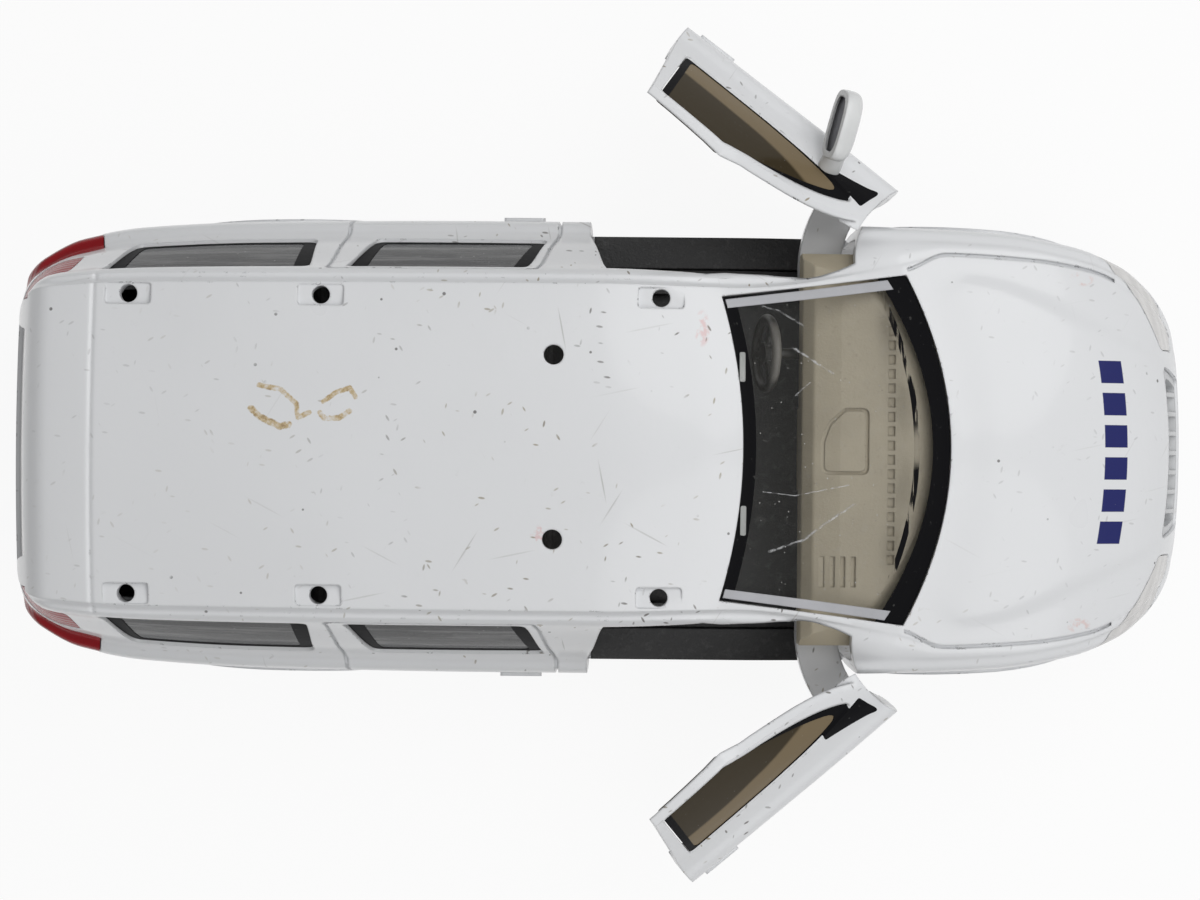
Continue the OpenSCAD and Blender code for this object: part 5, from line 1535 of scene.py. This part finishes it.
@dataclass
class Cabin:
    """The dashboard and what is behind the windows."""

    form: BodyForm
    lines: Outlines
    rear_x: float = 21.2
    floor: float = 23.7
    skin_d: float = 1.6
    side_in: float = 3.2
    groove: float = 0.35
    hinge_clear: float = 2.6
    stack_half: float = 4.6
    stack_foot: float = 9.0
    dial: tuple[Point, ...] = ((23.2, -2.6), (28.2, -2.6), (28.2, 4.4), (25.6, 4.4), (23.9, 2.8), (23.2, 0.8))
    vents: int = 17
    slots: int = 5
    lining: tuple[float, float] = (7.65, 2.2)
    tread: float = 0.14

    def build(self) -> None:
        """Make the dashboard with its moulded details, and dress the cabin's other solids."""
        f, o, x, z = self.form, self.lines, self.rear_x, self.floor
        top = f.window_base - 0.8
        front = f.screen_base + 4
        profile = [(x, z), (x, top - 1.6), (x + 1.2, top - 0.4), (x + 4, top), (front, top), (front, z)]
        dash = BENCH.make("dash_moulding", f.loft(self.skin_d, plain=True))
        side = f.half - self.side_in
        BENCH.act(dash, Cut.KEEP, across(rounded(profile, 0.7), -side, side))
        clear = upright(circle(o.hinge, self.hinge_clear, 40), *TALL)
        BENCH.act(dash, Cut.AWAY, Solid.group([clear, clear.mirrored()]))
        BENCH.act(dash, Cut.AWAY, *self.details(top))
        stack = box((x + 1, -self.stack_half, self.stack_foot), (x + 6, self.stack_half, z + 1))
        BENCH.act(dash, Cut.JOIN, stack)
        place(dash, Finishes.tan, "car", "tan_plastic", "dashboard")
        self.sills()
        rim_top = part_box("steering_wheel")[1].z / MM
        # The rim gets painted shade below its top, so only its top edge keeps the grey.
        rim = Moulding("grey_rim_plastic", (0.23, 0.22, 0.20), 0.5, 0.02, 0.3, painted_shade_below=rim_top - 0.7)
        for node, finish in (
            ("interior_tub", Finishes.dark), ("steering_wheel", rim), ("left_front_seat", Finishes.seat),
            ("right_front_seat", Finishes.seat), ("rear_bench", Finishes.seat)):
            finish.dress(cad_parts[node])
            LOG.info("%s: solid dressed", node)

    def sills(self) -> None:
        """Make the dark linings between base and body under the doors, with a tread on each sill."""
        f, o, (low, deep) = self.form, self.lines, self.lining
        x0, x1, sill = o.door_rear + 0.2, o.hinge[0] - o.door_edge - 0.4, f.sill + 2
        inside = box((x0, -f.half, low), (x1, f.half, sill + self.tread))
        lining = f.skin("sill_linings", f.wall + 0.05, f.wall + deep, inside)
        tread = box((x0, -f.half, sill), (x1, f.half, sill + self.tread))
        BENCH.act(lining, Cut.JOIN, f.skin("tread", 0.1, f.wall + deep, tread))
        place(lining, Finishes.black, "car", "dark_plastic")

    def details(self, top: float) -> list[Solid]:
        """Return the grooves and slots in the top of the dashboard.

        Args:
            top: Height of the dashboard's top.

        Returns:
            The solids to cut away, none touching within one group.
        """
        low, w = top - self.groove, self.groove
        outer, inner = rounded(self.dial, 0.8), rounded(grown(self.dial, -w), 0.6)
        panel = BENCH.make("panel", upright(outer, low, top + 2))
        BENCH.act(panel, Cut.AWAY, upright(inner, low - 1, top + 3))
        ring = Solid.of(panel)
        bpy.data.objects.remove(panel)
        vents = [box((30.2, -12 + 1.5 * i, low), (30.9, -11 + 1.5 * i, top + 2)) for i in range(self.vents)]
        slots = [box((22.0 + 1.1 * i, -14.4, low), (22.5 + 1.1 * i, -11.2, top + 2)) for i in range(self.slots)]
        return [Solid.group(vents + slots), ring]


@dataclass
class Door:
    """One front door: casting with its hinge arm, inner card, window and, on the left, the mirror."""

    form: BodyForm
    lines: Outlines
    side: Side
    opened: float
    wall: float = 1.2
    frame_t: float = 0.4
    lean: float = 0.225
    lean_from: float = 27.5
    arm_z: tuple[float, float] = (20.8, 23.4)
    strap: tuple[float, float] = (9.4, 13.8)
    strap_turn: tuple[float, float] = (140.0, 230.0)
    spoke: tuple[float, float] = (222.0, 2.6)
    card_x: tuple[float, float] = (1.2, 20.6)
    pane_d: float = 0.2
    pane_in: float = 0.6
    card_t: float = 2.3
    print_ends: tuple[float, ...] = (0.7, -0.5, -1.1, 0.6)
    handle: tuple[Point, Point] = ((0.6, 24.9), (5.0, 25.9))

    @property
    def name(self) -> str:
        """Name of the side."""
        return self.side.label

    def settle(self, thing: bpy.types.Object, finish: Finish, slot: str, *nodes: str) -> bpy.types.Object:
        """Lean in the frame of a piece that was made closed on the left, open it and set it on the door.

        Args:
            thing: The piece.
            finish: Its finish.
            slot: Material slot of the record.
            nodes: Solids that it stands for.

        Returns:
            The piece.
        """
        for point in thing.data.vertices:
            point.co.y -= self.lean * max(0.0, point.co.z - self.lean_from * MM)
        BENCH.pose(thing, self.side, self.lines.hinge, -self.opened)
        return place(thing, finish, f"{self.name}_door", slot, *nodes)

    def arm(self) -> bpy.types.Object:
        """Return the hinge arm: a round strap, a spoke and an eye.

        Returns:
            The arm with its pin.
        """
        (hx, hy), (r0, r1), (a0, a1) = self.lines.hinge, self.strap, self.strap_turn
        turns = np.radians(np.linspace(a0, a1, 40))
        arc = [(hx + r1 * math.cos(a), hy + r1 * math.sin(a)) for a in turns]
        arc += [(hx + r0 * math.cos(a), hy + r0 * math.sin(a)) for a in turns[::-1]]
        thing = BENCH.make("arm", upright(arc, *self.arm_z))
        a, w = math.radians(self.spoke[0]), self.spoke[1] / 2
        u, v = (math.cos(a), math.sin(a)), (-math.sin(a), math.cos(a))
        ends = ((-w, 0), (-w, r0 + 1), (w, r0 + 1), (w, 0))
        bar = [(hx + s * v[0] + r * u[0], hy + s * v[1] + r * u[1]) for s, r in ends]
        eye = upright(circle(self.lines.hinge, 2.2, 40), *self.arm_z)
        pin = upright(circle(self.lines.hinge, 1.0, 32), self.arm_z[0] - 1.2, self.arm_z[1] + 3.4)
        BENCH.act(thing, Cut.JOIN, upright(bar, *self.arm_z), eye)
        BENCH.act(thing, Cut.KEEP, self.form.loft(self.wall / 2, plain=True))
        return BENCH.act(thing, Cut.JOIN, pin)

    def build(self) -> None:
        """Make the door's pieces."""
        f, o = self.form, self.lines
        shape = BENCH.make("shape", across(grown(o.door, -o.door_gap), o.depth_in, o.reach))
        pivot = upright(circle(o.hinge, o.door_edge, 96), *TALL)
        BENCH.act(shape, Cut.AWAY, pivot, o.sideways(o.door_window, 0.6), upright(o.screen(0, 0.5), f.shoulder, 99))
        panel = f.skin(f"{self.name}_door_casting", 0, self.wall, shape)
        hollow = BENCH.make("hollow", f.loft(self.frame_t, plain=True))
        BENCH.act(hollow, Cut.KEEP, box((-f.end, -f.half, f.window_base + 0.6), (f.end, f.half, f.roof + 5)))
        BENCH.act(panel, Cut.AWAY, hollow)
        handle = o.sideways(rectangle(*self.handle), o.handle_r)
        grip = f.skin("grip", -o.handle_stand, self.wall / 2, handle, plain=True)
        BENCH.act(panel, Cut.JOIN, grip, self.arm())
        self.settle(panel, Finishes.door_enamel, "paint", f"{self.name}_door_panel")
        pane = f.skin(f"{self.name}_door_pane", self.pane_d, self.pane_in,
                      o.sideways(grown(o.door_window, -0.1), 0.5))
        self.settle(pane, Finishes.brown_pane, "brown_glass", f"{self.name}_door_glass")
        rim = edging(f"{self.name}_door_print", f, o, o.door_window, 0.25, self.print_ends, self.pane_d, 0.5)
        self.settle(rim, Finishes.print, "dark_plastic")
        px, base = o.pillar_foot[0], f.window_base
        sail = [(px - 7.4, base + 0.1), (px - 1.9, base + 0.2), (px - 1.0, base - 2.4), (px - 2.4, base - 1.9),
                (px - 7.4, base - 0.5)]
        corner = f.skin(f"{self.name}_sail_print", -0.04, 0.3, o.sideways(sail, 0.3))
        self.settle(corner, Finishes.print, "dark_plastic")
        self.card()

    def card(self) -> None:
        """Make the inner card with its pocket and armrest."""
        f, o, (x0, x1) = self.form, self.lines, self.card_x
        sill, top = f.sill + 4, f.window_base - 0.7
        edge = [(x0, sill), (x0, top), (x1 - 2, top), (x1, top - 2.3), (x1, sill)]
        card = f.skin(f"{self.name}_card", self.wall + 0.08, self.wall + self.card_t, o.sideways(edge, 0.6))
        pocket = [(x0 + 3, sill + 1.5), (x0 + 3, sill + 5), (x1 - 3, sill + 5), (x1 - 3, sill + 1.5)]
        BENCH.act(card, Cut.AWAY, o.sideways(pocket, 0.5))
        rest = [(x0 + 3.5, 20.4), (x0 + 3.5, 22.4), (x1 - 4.5, 23.2), (x1 - 4.5, 20.8)]
        BENCH.act(card, Cut.JOIN, f.skin("rest", self.wall + 1.4, self.wall + 3.4, o.sideways(rest, 0.7)))
        self.settle(card, Finishes.brown, "brown_plastic", f"{self.name}_door_card")


@dataclass
class Mirror:
    """The door mirror that is left, on the left door."""

    door: Door
    at: tuple[float, float, float] = (19.8, 22.2, 32.7)
    size: tuple[float, float, float] = (3.0, 6.4, 4.2)
    turn: float = 22.0
    tilt: float = 24.0
    middle: float = 0.62
    spread: float = 0.58
    end_power: float = 0.62
    belly_power: float = 0.55
    ring_powers: Point = (0.8, 0.7)
    rim_x: float = -0.75
    pocket_x: float = -0.1
    wall: float = 0.45
    glass_x: Point = (-0.45, -0.12)
    glass_in: float = 0.5
    foot_r: Point = (1.35, 1.05)

    def shell(self, grow: float) -> Solid:
        """Return the rounded housing, about its own foot, grown by a distance.

        Args:
            grow: The distance.

        Returns:
            The solid.
        """
        rings, (depth, reach, height), (px, pz) = [], self.size, self.ring_powers
        for v in np.linspace(-math.pi / 2, math.pi / 2, 25):
            y = self.middle * reach + swelled(math.sin(v), self.end_power) * (self.spread * reach + grow)
            r = max(abs(math.cos(v)), 1e-3) ** self.belly_power
            ring = []
            for a in np.linspace(0, 2 * math.pi, 49)[:-1]:
                x, z = swelled(math.cos(a), px), swelled(math.sin(a), pz)
                ring.append((r * x * (depth / 2 + grow), y, r * z * (height / 2 + grow)))
            rings.append(ring)
        return Solid.tube(rings)

    def slab(self, x0: float, x1: float) -> Solid:
        """Return a block across the mirror, between two distances in front of its middle."""
        return self.put(box((x0, -2, -10), (x1, 20, 10)))

    def put(self, solid: Solid) -> Solid:
        """Return a solid tipped back, turned and moved to the mirror's place on the closed door.

        Args:
            solid: A solid about the mirror's foot.

        Returns:
            The moved solid.
        """
        c, s = math.cos(math.radians(self.tilt)), math.sin(math.radians(self.tilt))
        x, y, z = solid.points.T
        turned = Solid(np.stack([c * x + s * z, y, c * z - s * x], 1), solid.faces).turned((0, 0), self.turn)
        return Solid(turned.points + np.array(self.at), turned.faces)

    def foot(self) -> Solid:
        """Return the foot: a bent bar from the door's corner to the housing.

        Returns:
            The solid.
        """
        rings = []
        for t in np.linspace(0, 1, 12):
            mid = np.array([0.8 - 0.5 * t, -1.6 + 3.6 * t, -2.9 + 2.9 * t**0.8])
            r = self.foot_r[0] + (self.foot_r[1] - self.foot_r[0]) * t
            turns = np.linspace(0, 2 * math.pi, 25)[:-1]
            rings.append([mid + np.array([r * math.cos(a), 0, 0.9 * r * math.sin(a)]) for a in turns])
        return Solid.tube(rings)

    def build(self) -> None:
        """Make the housing and the glass."""
        shell = BENCH.make("left_mirror_housing", self.put(self.shell(0)))
        BENCH.act(shell, Cut.JOIN, self.put(self.foot()))
        BENCH.act(shell, Cut.AWAY, self.slab(-6, self.rim_x))
        pocket = BENCH.make("pocket", self.put(self.shell(-self.wall)))
        BENCH.act(pocket, Cut.KEEP, self.slab(-6, self.pocket_x))
        BENCH.act(shell, Cut.AWAY, pocket, self.door.form.loft(0))
        self.door.settle(shell, Finishes.white, "white_plastic", "left_mirror")
        glass = BENCH.make("left_mirror_face", self.put(self.shell(-self.glass_in)))
        BENCH.act(glass, Cut.KEEP, self.slab(*self.glass_x))
        self.door.settle(glass, Finishes.foil, "mirror_foil", "left_mirror_glass")


class RunningGear:
    """Base, wheels and motor: solids that keep their shape and get their finish."""

    finishes: dict[str, Finish] = {
        "chassis": Finishes.black, "base_screws": Finishes.steel, "front_axle": Finishes.steel,
        "rear_axle": Finishes.steel, "drive_pinion": Finishes.brass, "spring_barrel": Finishes.ivory,
        "mainspring": Finishes.steel, "motor_case_left": Finishes.dark, "motor_case_right": Finishes.dark}

    def build(self) -> None:
        """Dress the solids."""
        wheels = [f"{end}_{side}" for end in ("front", "rear") for side in ("left", "right")]
        wheel_finish = {f"{w}_hub": Finishes.silver for w in wheels} | {f"{w}_tyre": Finishes.tyre for w in wheels}
        for node, finish in (self.finishes | wheel_finish).items():
            finish.dress(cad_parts[node])
            LOG.info("%s: solid dressed", node)


@dataclass
class Studio:
    """Floor, lights, world and camera of the photograph."""

    focal_px: float = 2660.0
    image_w: float = 1200.0
    height: float = 309.0
    foot: Point = (0.0, -0.25)
    roll: float = 0.53
    key: float = 0.40
    fill: float = 0.27
    sky: float = 0.36
    white: float = 0.92
    lamp_at: tuple[float, float, float] = (130.0, 130.0, 300.0)
    lamp_d: float = 260.0
    aim_z: float = 30.0
    floor_half: float = 3000.0

    def camera(self) -> None:
        """Set the camera that looks straight down on the car."""
        data = bpy.data.cameras.new("photo_camera")
        data.sensor_width = 36.0
        data.lens = data.sensor_width * self.focal_px / self.image_w
        data.clip_start = 0.01
        thing = bpy.data.objects.new("photo_camera", data)
        thing.location = (self.foot[0] * MM, self.foot[1] * MM, self.height * MM)
        thing.rotation_euler = (0.0, 0.0, math.radians(self.roll))
        bpy.context.scene.collection.objects.link(thing)
        bpy.context.scene.camera = thing

    def lamp(self, name: str, side: Side, power: float) -> None:
        """Add a soft lamp on one side, facing the car.

        Args:
            name: Name of the lamp.
            side: Its side.
            power: Its power in watts.
        """
        data = bpy.data.lights.new(name, "AREA")
        data.shape, data.size, data.energy = "DISK", self.lamp_d * MM, power
        thing = bpy.data.objects.new(name, data)
        x, y, z = self.lamp_at
        thing.location = Vector((x, side.value * y, z)) * MM
        aim = Vector((0, 0, self.aim_z)) * MM - thing.location
        thing.rotation_euler = aim.to_track_quat("-Z", "Y").to_euler()
        bpy.context.scene.collection.objects.link(thing)

    def floor(self) -> None:
        """Lay a pale floor that is white to the camera and keeps the shadow."""
        mesh = bpy.data.meshes.new("floor")
        half = self.floor_half * MM
        mesh.from_pydata([(x, y, 0) for x, y in rectangle((-half, -half), (half, half))], [], [(0, 1, 2, 3)])
        thing = bpy.data.objects.new("floor", mesh)
        bpy.context.scene.collection.objects.link(thing)
        t = Tree.material("pale_floor")
        at = t.place()
        t.set(Base_Color=t.mix(t.noise(at, 0.02) * 0.1, (0.82, 0.82, 0.82), (0.78, 0.78, 0.78)), Roughness=0.9)
        seen = self.seen(t)
        glow = t.node("ShaderNodeEmission", {}, {"Color": (1.0, 1.0, 1.0), "Strength": 1.0})
        surface = t.node("ShaderNodeMixShader", {}, {0: seen * self.white, 1: Wire(t, t.surface.outputs[0]), 2: glow})
        t.plug(t.nodes["Material Output"].inputs["Surface"], surface)
        mesh.materials.append(t.owner)

    def seen(self, t: Tree) -> Wire:
        """Return 1 for rays that show the background itself.

        Args:
            t: Tree of the floor or the world.

        Returns:
            The mask.
        """
        kinds = ("Camera", "Glossy", "Transmission")
        camera, glossy, through = (t.node("ShaderNodeLightPath", {}, {}, f"Is {kind} Ray") for kind in kinds)
        return camera.either(glossy).either(through)

    def world(self) -> None:
        """Set an even grey sky that shows as white."""
        t = Tree(bpy.data.worlds.new("studio"))
        bpy.context.scene.world = t.owner
        t.set(Color=(1.0, 1.0, 1.0), Strength=self.sky + (1 - self.sky) * self.seen(t))

    def build(self) -> None:
        """Set up the studio."""
        bpy.context.scene.view_settings.view_transform = "Standard"
        self.camera()
        self.floor()
        self.world()
        self.lamp("key", Side.LEFT, self.key)
        self.lamp("fill", Side.RIGHT, self.fill)


def main() -> None:
    """Build the car's looks in order and note its size."""
    logging.basicConfig(level=logging.INFO, format="%(message)s")
    low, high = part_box("body_shell")
    form = BodyForm(length=round((high.x - low.x) / MM, 2), roof=round(high.z / MM, 1))
    lines = Outlines(form)
    Studio().build()
    Casting(form, lines).build()
    Glazing(form, lines).build()
    Lamps(form, lines).build()
    Cabin(form, lines).build()
    left = Door(form, lines, Side.LEFT, opened=37.0)
    for part in (left, Door(form, lines, Side.RIGHT, opened=40.0), Mirror(left), RunningGear()):
        part.build()
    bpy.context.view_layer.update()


if __name__ == "__main__":
    main()
